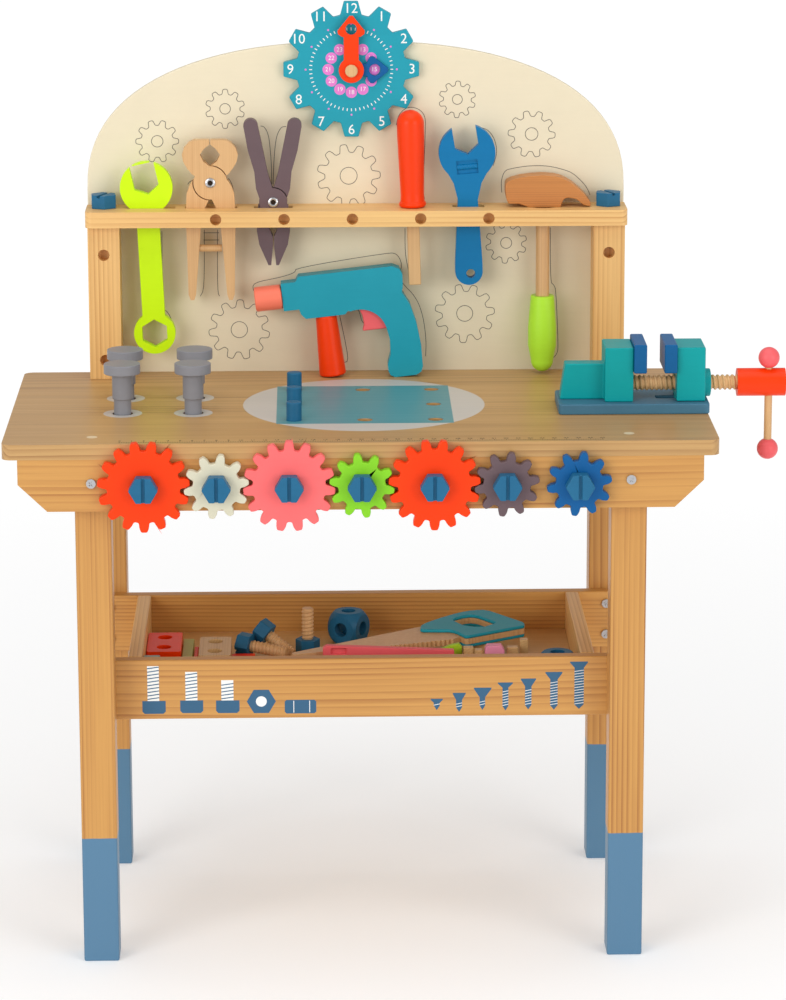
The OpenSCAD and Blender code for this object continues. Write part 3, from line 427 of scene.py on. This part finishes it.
# helical thread: the radius at distance s and angle a is core + depth * wave(s / pitch - a / 2 pi), and both
# ends are shut
def threaded(name, origin, axis, length, core, crest, pitch, finish, body, node=None, fade=1.2,
             around=48):
    line, side, up = across(axis)
    s = np.linspace(0, length, int(length / pitch * 14) + 1)[:, None]
    a = np.linspace(0, 2 * np.pi, around, endpoint=False)[None, :]
    wave = 0.5 + 0.5 * np.cos(2 * np.pi * (s / pitch - a / (2 * np.pi)))
    wave = np.clip(wave * 1.5 - 0.2, 0, 1)
    ends = np.clip(np.minimum(s, length - s) / fade, 0, 1)
    radius = core + (crest - core) * wave * ends
    points = s[..., None] * line + radius[..., None] * (np.cos(a)[..., None] * side + np.sin(a)[...,
                                                                                                None] * up)
    shut = np.broadcast_to(line * 0.0, (1, around, 3))
    points = np.concatenate([shut, points, shut + line * length]) + np.array(origin)
    mesh = solidMesh(name, points.reshape(-1, 3) * mm, ringFaces(len(s) + 2, around), join=False,
                     recalculate=True)
    return addPiece(name, mesh, finish, body, node, angle=55)


# a closed or open line drawn as a flat strip on a face: each point moves half the width to both sides, along
# the average of its neighbours' normals. Points are (across, up) in mm on a face that looks along -Y
def stripMesh(line, width, y, thick, closed=True):
    line = np.array(line, float)
    after, before = np.roll(line, -1, 0) - line, line - np.roll(line, 1, 0)
    if not closed:
        after[-1], before[0] = before[-1], after[0]
    after /= np.linalg.norm(after, axis=1, keepdims=True)
    before /= np.linalg.norm(before, axis=1, keepdims=True)
    run = after + before
    run /= np.maximum(np.linalg.norm(run, axis=1, keepdims=True), 1e-6)
    normal = np.stack([-run[:, 1], run[:, 0]], axis=1)
    stretch = 1 / np.maximum((normal * np.stack([-after[:, 1], after[:, 0]], axis=1)).sum(1, keepdims=True),
                             0.4)
    left, right = line + normal * stretch * width / 2, line - normal * stretch * width / 2
    rows = np.stack([np.c_[left[:, 0], np.full(len(line), y - thick), left[:, 1]],
                     np.c_[right[:, 0], np.full(len(line), y - thick), right[:, 1]],
                     np.c_[right[:, 0], np.full(len(line), y), right[:, 1]],
                     np.c_[left[:, 0], np.full(len(line), y), left[:, 1]]], axis=1)
    count = len(line) if closed else len(line) - 1
    u, v = np.meshgrid(np.arange(count), np.arange(4), indexing="ij")
    a, b = u * 4 + v, u * 4 + (v + 1) % 4
    c, d = ((u + 1) % len(line)) * 4 + (v + 1) % 4, ((u + 1) % len(line)) * 4 + v
    faces = np.stack([a, b, c, d], axis=-1).reshape(-1, 4).tolist()
    if not closed:
        faces += [[3, 2, 1, 0], [len(line) * 4 - 4 + k for k in range(4)]]
    return rows.reshape(-1, 3), faces


# flat prism on a face that looks along -Y
def plateMesh(outline, y, thick):
    outline = np.array(outline, float)
    n = len(outline)
    front = np.c_[outline[:, 0], np.full(n, y - thick), outline[:, 1]]
    back = np.c_[outline[:, 0], np.full(n, y), outline[:, 1]]
    around = np.arange(n)
    sides = np.stack([around, around + n, (around + 1) % n + n, (around + 1) % n], axis=1)
    return np.vstack([front, back]), sides.tolist() + [list(range(n)), list(range(2 * n - 1, n - 1, -1))]


# many small shapes as one printed piece
def printed(name, shapes, finish, body, turnFlat=None):
    corners, faces, start = [], [], 0
    for points, polygons in shapes:
        corners.append(points)
        faces += [[k + start for k in polygon] for polygon in polygons]
        start += len(points)
    corners = np.vstack(corners) * mm
    if turnFlat is not None:
        # laid down on a level face: what was up now runs to the back, at the given height
        corners = np.c_[corners[:, 0], corners[:, 2], turnFlat * mm - corners[:, 1]]
    mesh = solidMesh(name, corners, faces, join=False, recalculate=True)
    mesh.polygons.foreach_set("use_smooth", np.zeros(len(mesh.polygons), bool))
    piece = addPiece(name, mesh, finish, body)
    piece.data.polygons.foreach_set("use_smooth", np.zeros(len(mesh.polygons), bool))
    return piece


# figures set as text and made into thin meshes before they take their place
def figures(name, items, height, y, finish, body, thick=0.06, flat=None):
    work = bmesh.new()
    for words, x, z in items:
        letters = bpy.data.curves.new(name, "FONT")
        letters.body, letters.size = words, height * mm * 1.38
        letters.align_x = letters.align_y = "CENTER"
        letters.extrude = thick * mm / 2
        letters.resolution_u = 3
        maker = bpy.data.objects.new(name, letters)
        bpy.context.scene.collection.objects.link(maker)
        mesh = bpy.data.meshes.new_from_object(maker.evaluated_get(bpy.context.evaluated_depsgraph_get()))
        bpy.data.objects.remove(maker)
        if flat is None:
            mesh.transform(Matrix.Translation((x * mm, (y - thick / 2) * mm,
                                               z * mm)) @ Matrix.Rotation(math.pi / 2, 4, "X"))
        else:
            mesh.transform(Matrix.Translation((x * mm, z * mm, (flat + thick / 2) * mm)))
        work.from_mesh(mesh)
        bpy.data.meshes.remove(mesh)
    bmesh.ops.remove_doubles(work, verts=work.verts, dist=1e-6)
    mesh = bpy.data.meshes.new(name)
    work.to_mesh(mesh)
    work.free()
    piece = addPiece(name, mesh, finish, body)
    piece.data.polygons.foreach_set("use_smooth", np.zeros(len(mesh.polygons), bool))
    return piece


# a circle as points
def ringPoints(x, z, radius, count=40):
    a = np.linspace(0, 2 * np.pi, count, endpoint=False)
    return np.c_[x + radius * np.cos(a), z + radius * np.sin(a)]



edges = {"legs": 1.6, "worktop": 1.8, "front_apron": 1.6, "back_apron": 1.4, "side_rails": 1.2,
         "tray_boards": 1.2,
         "tray_sides": 1.2, "tray_bottom": 0.5, "back_posts": 1.6, "tool_shelf": 1.4, "back_panel": 1.2,
         "frame_screws": 0.35, "toy_bolts": 0.7, "clock_dial": 0.8, "clock_peg": 1.0, "minute_hand": 0.8,
         "hour_hand": 0.8,
         "vise_base": 1.4, "vise_fixed_jaw": 1.5, "vise_fixed_pad": 1.2, "vise_sliding_jaw": 1.5,
         "vise_sliding_pad": 1.2,
         "vise_hub": 1.6, "spanner": 1.3, "adjustable_wrench": 1.2, "pincers_left": 1.2, "pincers_right": 1.2,
         "pliers_left": 1.2, "pliers_right": 1.2, "hammer_head": 3.0, "drill_body": 2.2, "drill_trigger": 1.6,
         "drill_chuck": 1.6, "drill_side_handle": 2.0, "screwdriver_handle": 1.0, "screwdriver_blade": 0.8,
         "hammer_shaft": 0.6, "hammer_grip": 0.8, "small_pegs": 1.2, "saw_blade": 0.4, "saw_handle": 1.2,
         "loose_nuts": 1.4, "vise_knobs": 0.3, "vise_bar": 0.5}
for i in range(1, 8):
    edges["gear_%d" % i] = 1.0
for i in range(1, 5):
    edges["hammer_peg_%d" % i] = 1.2
for node, width in edges.items():
    softened(node, width * mm)
print("CAD shapes rounded:", len(edges))



# loose strips and blocks in the tray: each keeps the triangles inside its own box, as (low, high, finish)
def trayStrips():
    left, low, top = -186.5, 223.4, 260
    strips = {
        "stripOrange": ((left + 0.4, -22.5, low), (left + 30.6, 40.5, top), slotFinish["orange"]),
        "stripNatural": ((left + 45.9, -35.5, low), (left + 74.2, 25.5, top), extra["packing"]),
        "stripGreen": ((left + 30.9, -18.5, low), (left + 40.7, 42.5, 239), extra["green"]),
        "stripRed": ((left + 41.2, -30.5, low), (left + 45.3, 20.5, 238), extra["red"]),
        "stripGray": ((left + 0.2, -76.5, low), (left + 14.8, -67.5, top), extra["gray"]),
        "stripBright": ((left + 74.3, -40.5, low), (left + 94.8, 6.5, 234.5), slotFinish["orange"]),
        "stripCoral": ((-33.5, -54.5, low), (80.5, -46.9, top), extra["coral"]),
        "stripLime": ((68.5, -40.5, low), (87.7, -33.5, top), extra["lime"]),
        "stripPink": ((106.5, -50.5, low), (123.9, -39.7, top), extra["pink"]),
        "stripPlainOne": ((88.2, -45.5, low), (97.3, -36.5, top), extra["packing"]),
        "stripPlainTwo": ((97.7, -48.5, low), (105.3, -39.5, top), extra["packing"]),
        "stripPlainThree": ((125.7, -42.5, low), (136.3, -33.5, top), extra["packing"]),
        "stripStick": ((137.7, -32.5, low), (145.3, -23.5, top), extra["packing"]),
        "packingOne": ((97.5, 3.5, low), (112.5, 20.5, 241), extra["packing"]),
        "packingTwo": ((-40.5, -36.5, low), (-23.5, -27.5, 244), extra["packing"]),
    }
    for name, (lowest, highest, finish) in strips.items():
        softened("loose_strips", 0.8 * mm, finish, within(lowest, highest), name)
    print("strips in the tray:", len(strips))


trayStrips()

# a loose bolt: its place, its turn, its dip and its shank's length; the head is the CAD shape's own
looseBolts = {
    "boltStanding": {"origin": (-46, 46, 235.5), "yaw": 0, "dip": -90, "length": 28},
    "boltLying": {"origin": (-95.5, 18.7, 237.0), "yaw": -22.3, "dip": 5.1, "length": 34},
    "boltTipped": {"origin": (-80.4, 29.4, 243.3), "yaw": -25.2, "dip": 32.3, "length": 27},
}
boltThread = {"core": 4.6, "crest": 5.35, "pitch": 3.4}


def headShape(name, origin, line):
    corners, triangles = nodeArrays("loose_bolts")
    middle = corners[triangles].mean(axis=1) - origin
    along = middle @ line
    aside = np.linalg.norm(middle - along[:, None] * line, axis=1)
    kept = triangles[(along < 0.0002) & (along > -0.0135) & (aside < 0.0118)]
    used, index = np.unique(kept, return_inverse=True)
    mesh = solidMesh(name, corners[used], index.reshape(-1, 3), join=False)
    work = bmesh.new()
    work.from_mesh(mesh)
    bmesh.ops.holes_fill(work, edges=[edge for edge in work.edges if edge.is_boundary], sides=0)
    bmesh.ops.recalc_face_normals(work, faces=work.faces)
    bmesh.ops.dissolve_limit(work, angle_limit=math.radians(0.4), verts=work.verts, edges=work.edges)
    work.to_mesh(mesh)
    work.free()
    return mesh


for name, bolt in looseBolts.items():
    yaw, dip = math.radians(bolt["yaw"]), math.radians(bolt["dip"])
    line = np.array([math.cos(dip) * math.cos(yaw), math.cos(dip) * math.sin(yaw), -math.sin(dip)])
    mesh = headShape(name + "Head", np.array(bolt["origin"]) * mm, line)
    addPiece(name + "Head", mesh, finishFor("loose_bolts"), "loose_bolts", "loose_bolts", bevel=0.6 * mm)
    threaded(name + "Shank", bolt["origin"], line, bolt["length"], boltThread["core"], boltThread["crest"],
             boltThread["pitch"], extra["threadWood"], "loose_bolts", "loose_bolts")
print("loose bolts:", len(looseBolts))

# the vise's wooden screw, from inside the fixed jaw to inside the hub
viseScrew = {"origin": (220.5, -16.5, 478.5), "length": 121, "core": 5.3, "crest": 6.6, "pitch": 4.2}
threaded("viseThread", viseScrew["origin"], (1, 0, 0), viseScrew["length"], viseScrew["core"],
         viseScrew["crest"],
         viseScrew["pitch"], extra["threadWood"], "vise_screw", "vise_screw")

# tubular rivets: a rolled ring at each face round a hollow stem, and a near-black disc in the front of the
# bore as painted shade
rivet = {"ring": 4.7, "bore": 1.9, "roll": 1.5, "stem": 2.45, "thick": 10.0}


def tubeRivet(name, x, z, y, body, node):
    ring, bore, roll, thick = rivet["ring"], rivet["bore"], rivet["roll"], rivet["thick"]
    profile = [(-0.5, bore), (-roll * 0.9, bore + 0.5), (-roll, (ring + bore) / 2),
               (-roll * 0.8, ring - 0.4), (0, ring),
               (0, rivet["stem"]), (thick, rivet["stem"]), (thick, ring), (thick + roll * 0.8, ring - 0.4),
               (thick + roll, (ring + bore) / 2), (thick + roll * 0.9, bore + 0.5), (thick + 0.5, bore)]
    turned(name, [(-0.4, 0)] + profile + [(thick + 0.4, 0)], (x, y, z), (0, 1, 0), finishFor(node), body,
           node, around=48)
    # a near-black disc just inside the front of the hollow stem: painted shade for the dark inside of the
    # bore
    turned(name + "BorePaintedShade", [(-0.62, bore + 0.05), (-0.45, bore + 0.05)], (x, y, z), (0, 1, 0), extra["dark"],
           body,
           around=32)


tubeRivet("pincersRivet", -128.8, 631.0, 122.75, "pincers", "pincers_rivet")
tubeRivet("pliersRivet", -73.6, 613.6, 122.75, "pliers", "pliers_rivet")

# the wrench's worm: ridges round its axis in front of a dark window
worm = {"centre": (97.5, 660.5), "down": 16.5, "half": 8.6, "reach": 2.5, "core": 1.9, "pitch": 2.6,
        "y": 125.35}


def wrenchWorm():
    lean = math.radians(1.0)
    x = worm["centre"][0] + math.sin(lean) * worm["down"]
    z = worm["centre"][1] - math.cos(lean) * worm["down"]
    tilt = math.radians(5.0)
    line = np.array([math.cos(tilt), 0, math.sin(tilt)])
    start = np.array([x, worm["y"], z]) - line * worm["half"]
    threaded("wrenchWorm", start, line, 2 * worm["half"], worm["core"] + 0.5, worm["reach"] + 0.25,
             worm["pitch"],
             slotFinish["wrench_blue"], "wrench", fade=0.6)


wrenchWorm()


# a gear's outline: the radius goes between root and tip as a softened square wave of the angle
def gearOutline(x, z, radius, teeth=10, turn=0.0):
    a = np.linspace(0, 2 * np.pi, teeth * 16, endpoint=False)
    wave = np.tanh(2.4 * np.cos(teeth * (a - turn))) / np.tanh(2.4)
    r = radius * (0.875 + 0.125 * wave)
    return np.c_[x + r * np.cos(a), z + r * np.sin(a)]


panelPrint = {
    "width": 0.55,
    "gears": [(-175.6, 664.9, 18.9), (-115.4, 693.5, 17.4), (-6.7, 633.3, 28.1), (89.7, 701.0, 16.3),
              (155.6, 669.9, 20.9),
              (133.4, 572.1, 18.4), (96.5, 508.3, 26.7), (-105.1, 494.8, 27.2)],
    "lines": {
        "hammerHead": [(129.4, 617.6), (128.8, 623.2), (129.1, 629.9), (131.8, 637.2), (137.7, 639.1),
                       (153.2, 641.6),
                       (171, 641.4), (187.2, 637.2), (194.4, 633.3), (203.4, 624.2), (206.2, 619.4),
                       (207.9, 614.9)],
        "hammerGrip": [(172.8, 585.8), (173.1, 536.3), (176.5, 533.7), (178.2, 528.6), (180.5, 480.1),
                       (180, 471.5),
                       (176.3, 467.2)],
        "driver": [(35.6, 678.4), (37.3, 686.8), (43.4, 693.4), (50.3, 694.5), (57.2, 691.7), (61.1, 686.1),
                   (61.6, 678.3),
                   (59.9, 633.6), (59.4, 618.2), (60.8, 611.2), (59.4, 607)],
        "driverBlade": [(43.2, 586), (43.2, 563.4), (45.4, 552), (47, 543.5)],
        "rungOne": [(-135.9, 582.7), (-122.1, 582.7)],
        "rungTwo": [(-136, 576.2), (-122.2, 576.2)],
        "rungThree": [(-136, 570), (-122.2, 570)],
        "handleLeft": [(-135.1, 585.5), (-135.8, 531.9), (-139.5, 525.4)],
        "handleRight": [(-123.4, 585.5), (-124.2, 529), (-122.3, 525.3)],
        "drillHandle": [(-15.6, 508.4), (-6.9, 465.6), (-11.7, 464.2)],
        "drillTrigger": [(-2.7, 515.5), (2, 512.6), (5.3, 496.9), (24.9, 499.6)],
        "drillBody": [(-92.1, 530.2), (-92.9, 537.3), (-68.3, 542), (-54.4, 546.4), (-54.4, 550.6),
                      (29.2, 564),
                      (35.4, 562.9), (38.7, 558.3), (40.4, 552.1), (38.1, 542.2), (40.3, 536.5),
                      (52.9, 523.6),
                      (59.3, 506.5), (62.1, 483.7), (61.5, 469.4)],
        "pincersTop": [(-149.2, 626.3), (-147.8, 628.5), (-144.4, 630.5)],
        "pincersSide": [(-113.2, 631.7), (-110.5, 627.5), (-108.6, 620.5), (-107.9, 607.9)],
        "spanner": [(-172.8, 584.3), (-173.3, 515.1), (-168.4, 510.8), (-165.7, 505.1), (-164.4, 499.4)],
        "wrench": [(110.6, 675.9), (116.7, 673.9), (122.3, 666.9), (124.8, 657.1), (124.3, 650.1),
                   (121.5, 641.7)],
        "pliersLeft": [(-84.2, 678.1), (-80.9, 677.6), (-77.4, 670.6), (-76.1, 659.5), (-75.1, 645.5),
                       (-74.8, 625.9)],
        "pliersRight": [(-61.6, 677.5), (-65.7, 677.5), (-69.9, 670.6), (-71.7, 659.4), (-72.9, 645.5),
                        (-73.7, 625.9)],
    },
}
panelFace, inkThick = 144.5, 0.08
outlines = []
for i, (x, z, radius) in enumerate(panelPrint["gears"]):
    outlines.append(stripMesh(gearOutline(x, z, radius, 11 if radius > 25 else 10, 0.3 * i),
                              panelPrint["width"], panelFace,
                              inkThick))
    outlines.append(stripMesh(ringPoints(x, z, radius * 0.27, 24), panelPrint["width"], panelFace, inkThick))
for points in panelPrint["lines"].values():
    line = eased(points, 2) if len(points) > 2 else np.array(points, float)
    outlines.append(stripMesh(line, panelPrint["width"], panelFace, inkThick, closed=False))
printed("panelOutlines", outlines, extra["outline"], "bench")

# the dial: large hours, small afternoon hours on discs, and minute ticks
dial = {"x": -4.0, "z": 729.0, "y": 136.5, "hours": 53.5, "height": 9.0, "discs": 20.2, "disc": 5.0,
        "small": 4.0,
        "ticks": 35.7, "tick": 2.5}


def around(radius, hour):
    a = math.radians(90 - 30 * hour)
    return dial["x"] + radius * math.cos(a), dial["z"] + radius * math.sin(a)


figures("dialHours", [(str(h), *around(dial["hours"], h)) for h in range(1, 13)], dial["height"], dial["y"],
        extra["white"], "bench")
printed("dialDiscs", [plateMesh(ringPoints(*around(dial["discs"], h), dial["disc"], 28), dial["y"], 0.05)
                      for h in range(1, 13)], extra["pinkInk"], "bench")
figures("dialAfternoon", [(str(h + 12), *around(dial["discs"], h)) for h in range(1, 13)], dial["small"],
        dial["y"] - 0.05, extra["white"], "bench")
ticks, marks = [], []
for minute in range(60):
    near, far = (around(dial["ticks"] + side * dial["tick"] / 2, minute / 5) for side in (-1, 1))
    ticks.append(stripMesh([near, far], 0.75, dial["y"], 0.06, closed=False))
    if minute % 5 == 0:
        marks.append(plateMesh(ringPoints(*around(dial["ticks"] + 4.4, minute / 5), 0.9, 12), dial["y"],
                               0.06))
printed("dialTicks", ticks, extra["white"], "bench")
printed("dialMarks", marks, extra["pinkInk"], "bench")

# the ruler along the worktop's front edge: centimetres, half centimetres and figures
ruler = {"start": -200, "end": 200, "y": -139.0, "long": 4.2, "half": 2.8, "short": 1.8, "line": 0.45,
         "height": 3.2,
         "top": 457.0}
ticks = [stripMesh([(ruler["start"] - 1, ruler["y"]), (ruler["end"] + 1, ruler["y"])], ruler["line"], 0,
                   0.06, closed=False)]
for i in range(0, ruler["end"] - ruler["start"] + 1, 2):
    reach = ruler["long"] if i % 10 == 0 else (ruler["half"] if i % 10 == 5 else ruler["short"])
    x = ruler["start"] + i
    ticks.append(stripMesh([(x, ruler["y"]), (x, ruler["y"] + reach)], ruler["line"], 0, 0.06, closed=False))
printed("rulerTicks", ticks, extra["rulerInk"], "bench", turnFlat=ruler["top"])
figures("rulerFigures", [(str(k), ruler["start"] + 10 * k, ruler["y"] + 6.6) for k in range(0, 41)],
        ruler["height"], 0,
        extra["rulerInk"], "bench", flat=ruler["top"])

# pictures of bolts, a nut and screws on the tray's front board: shafts are (x1, x2, z1, z2)
trayFace = -97.0
trayPrint = {
    "bolts": [(-186.6, -166.8, 210.8, 222.2, -182.1, -172.2, 253.0),
              (-154.5, -135.0, 211.2, 222.4, -149.9, -139.8, 247.6),
              (-124.1, -104.2, 210.9, 222.1, -119.5, -109.2, 240.0)],
    "nuts": [(-98, -73.3, 210.6, 231.2), (-65.8, -39.0, 210, 222)],
    "screws": [(58.4, 68.7, 61, 66.1, 221.7, 218.2, 211.6), (77.2, 88.2, 80, 85.1, 226.8, 220.5, 209.9),
               (95.2, 110.2, 100.1, 104.8, 231.2, 222.7, 211.4),
               (115.6, 128.4, 119.6, 124.6, 235.6, 231, 210.7),
               (135.2, 148.1, 138.8, 144.3, 238.9, 232, 211.5),
               (156.1, 170.6, 160.3, 166.6, 244.5, 237.9, 211),
               (177.1, 192.3, 180.9, 188.9, 253.5, 248, 211.5)],
}
solid, light = [], []
for x1, x2, z1, z2, s1, s2, top in trayPrint["bolts"]:
    solid.append(plateMesh([(x1, z1 + 2), (x1 + 2, z1), (x2 - 2, z1), (x2, z1 + 2), (x2, z2), (x1, z2)],
                           trayFace, 0.06))
    light.append(plateMesh([(s1, z2), (s2, z2), (s2, top), (s1, top)], trayFace, 0.05))
    solid += [stripMesh([(s1, z), (s2, z + 1.4)], 0.9, trayFace - 0.05, 0.04, closed=False)
              for z in np.arange(z2 + 1.5, top - 1.6, 3.0)]
x1, x2, z1, z2 = trayPrint["nuts"][0]
solid.append(plateMesh([(x1, (z1 + z2) / 2), (x1 + 6, z1), (x2 - 6, z1), (x2, (z1 + z2) / 2), (x2 - 6, z2),
                        (x1 + 6, z2)],
                       trayFace, 0.06))
light.append(plateMesh(ringPoints((x1 + x2) / 2, (z1 + z2) / 2, 4.6, 28), trayFace - 0.06, 0.04))
x1, x2, z1, z2 = trayPrint["nuts"][1]
solid.append(plateMesh([(x1, z1 + 1.5), (x1 + 1.5, z1), (x2 - 1.5, z1), (x2, z1 + 1.5), (x2, z2 - 1.5),
                        (x2 - 1.5, z2),
                        (x1 + 1.5, z2), (x1, z2 - 1.5)], trayFace, 0.06))
light += [stripMesh([(x, z1 + 0.8), (x, z2 - 0.8)], 0.6, trayFace - 0.06, 0.04,
                    closed=False) for x in (-58.1, -44.6)]
for h1, h2, b1, b2, top, neck, point in trayPrint["screws"]:
    middle, bottom = (b1 + b2) / 2, point + 4
    solid.append(plateMesh([(h1, top), (h1, top - 1), (b1, neck), (b1, bottom), (middle, point),
                            (b2, bottom), (b2, neck),
                            (h2, top - 1), (h2, top)], trayFace, 0.06))
    light += [stripMesh([(b1, z), (b2, z + 1.1)], 0.5, trayFace - 0.06, 0.04, closed=False)
              for z in np.arange(bottom + 0.5, neck - 2.0, 2.4)]
printed("trayPictures", solid, extra["slateInk"], "bench")
printed("trayLights", light, extra["white"], "bench")
print("prints set")

viewpoint = {"place": (-0.041415, -3.300352, 1.184774), "turn": 2.16907, "tilt": -13.11451, "roll": 0.06393,
             "lens": 141.2195, "film": 36.0, "across": -0.0632309, "down": -0.0486927}


def placeCamera(values):
    turn, tilt, roll = (math.radians(values[k]) for k in ("turn", "tilt", "roll"))
    ahead = np.array([math.sin(turn) * math.cos(tilt), math.cos(turn) * math.cos(tilt), math.sin(tilt)])
    right = np.array([math.cos(turn), -math.sin(turn), 0.0])
    up = np.cross(right, ahead)
    right, up = math.cos(roll) * right + math.sin(roll) * up, -math.sin(roll) * right + math.cos(roll) * up
    data = bpy.data.cameras.new("camera")
    camera = bpy.data.objects.new("camera", data)
    bpy.context.scene.collection.objects.link(camera)
    pose = np.eye(4)
    pose[:3, 0], pose[:3, 1], pose[:3, 2], pose[:3, 3] = right, up, -ahead, values["place"]
    camera.matrix_world = Matrix(pose.tolist())
    data.sensor_fit, data.sensor_height, data.lens = "VERTICAL", values["film"], values["lens"]
    data.shift_x, data.shift_y = values["across"], values["down"]
    data.clip_start, data.clip_end = 0.1, 30
    bpy.context.scene.camera = camera


placeCamera(viewpoint)

lamps = {
    "left": {"place": (-1.9, -2.5, 1.25), "aim": (0, 0, 0.45), "size": 1.7, "power": 36},
    "right": {"place": (2.0, -2.4, 1.15), "aim": (0, 0, 0.45), "size": 1.6, "power": 24},
    "top": {"place": (0.0, -0.4, 2.6), "aim": (0, 0, 0.4), "size": 2.2, "power": 20},
}
for name, lamp in lamps.items():
    data = bpy.data.lights.new(name, "AREA")
    data.shape, data.size, data.energy = "SQUARE", lamp["size"], lamp["power"]
    light = bpy.data.objects.new(name, data)
    away = np.array(lamp["place"]) - np.array(lamp["aim"])
    line, side, up = across(away)
    pose = np.eye(4)
    pose[:3, 0], pose[:3, 1], pose[:3, 2], pose[:3, 3] = side, up, line, lamp["place"]
    light.matrix_world = Matrix(pose.tolist())
    bpy.context.scene.collection.objects.link(light)

sky = bpy.data.worlds.new("studio")
sky.use_nodes = True
# the sky lights the object at less than the plain white that shows behind it
skyLight = 0.5
backdrop = sky.node_tree.nodes["Background"]
backdrop.inputs["Color"].default_value = (1, 1, 1, 1)
path = Socket(sky.node_tree, sky.node_tree.nodes.new("ShaderNodeLightPath").outputs["Is Camera Ray"])
sky.node_tree.links.new((path * (1 - skyLight) + skyLight).out, backdrop.inputs["Strength"])
bpy.context.scene.world = sky
bpy.context.scene.view_settings.view_transform = "Standard"

# the floor takes shadows round the object and fades into the white backdrop further out
floorLook = {"near": 0.2, "far": 1.5, "color": 0.93, "fill": 0.17}
floorFinish = Finish("studioFloor", Roughness=0.9, Emission_Strength=1.0)
fx, fy = floorFinish.axes()[:2]
distance = (fx ** 2 + (fy * 0.8) ** 2) ** 0.5
faded = ((distance - floorLook["near"]) / (floorLook["far"] - floorLook["near"])).least(1).most(0) ** 0.7
patch = floorFinish.noise(floorFinish.place(), 2.0)
shade = floorLook["color"]
cloudy = floorFinish.mix(patch, (shade - 0.01,) * 3 + (1,), (shade + 0.01,) * 3 + (1,))
floorFinish.surface(Base_Color=floorFinish.mix(faded, cloudy, (0, 0, 0, 1)),
                    Emission_Color=floorFinish.mix(faded, (floorLook["fill"],) * 3 + (1,), (1, 1, 1, 1)))
floorMesh = bpy.data.meshes.new("floor")
floorMesh.from_pydata([(-9, -9, 0), (9, -9, 0), (9, 9, 0), (-9, 9, 0)], [], [(0, 1, 2, 3)])
floorMesh.materials.append(floorFinish.material)
floor = bpy.data.objects.new("floor", floorMesh)
bpy.context.scene.collection.objects.link(floor)
print("camera and light set")
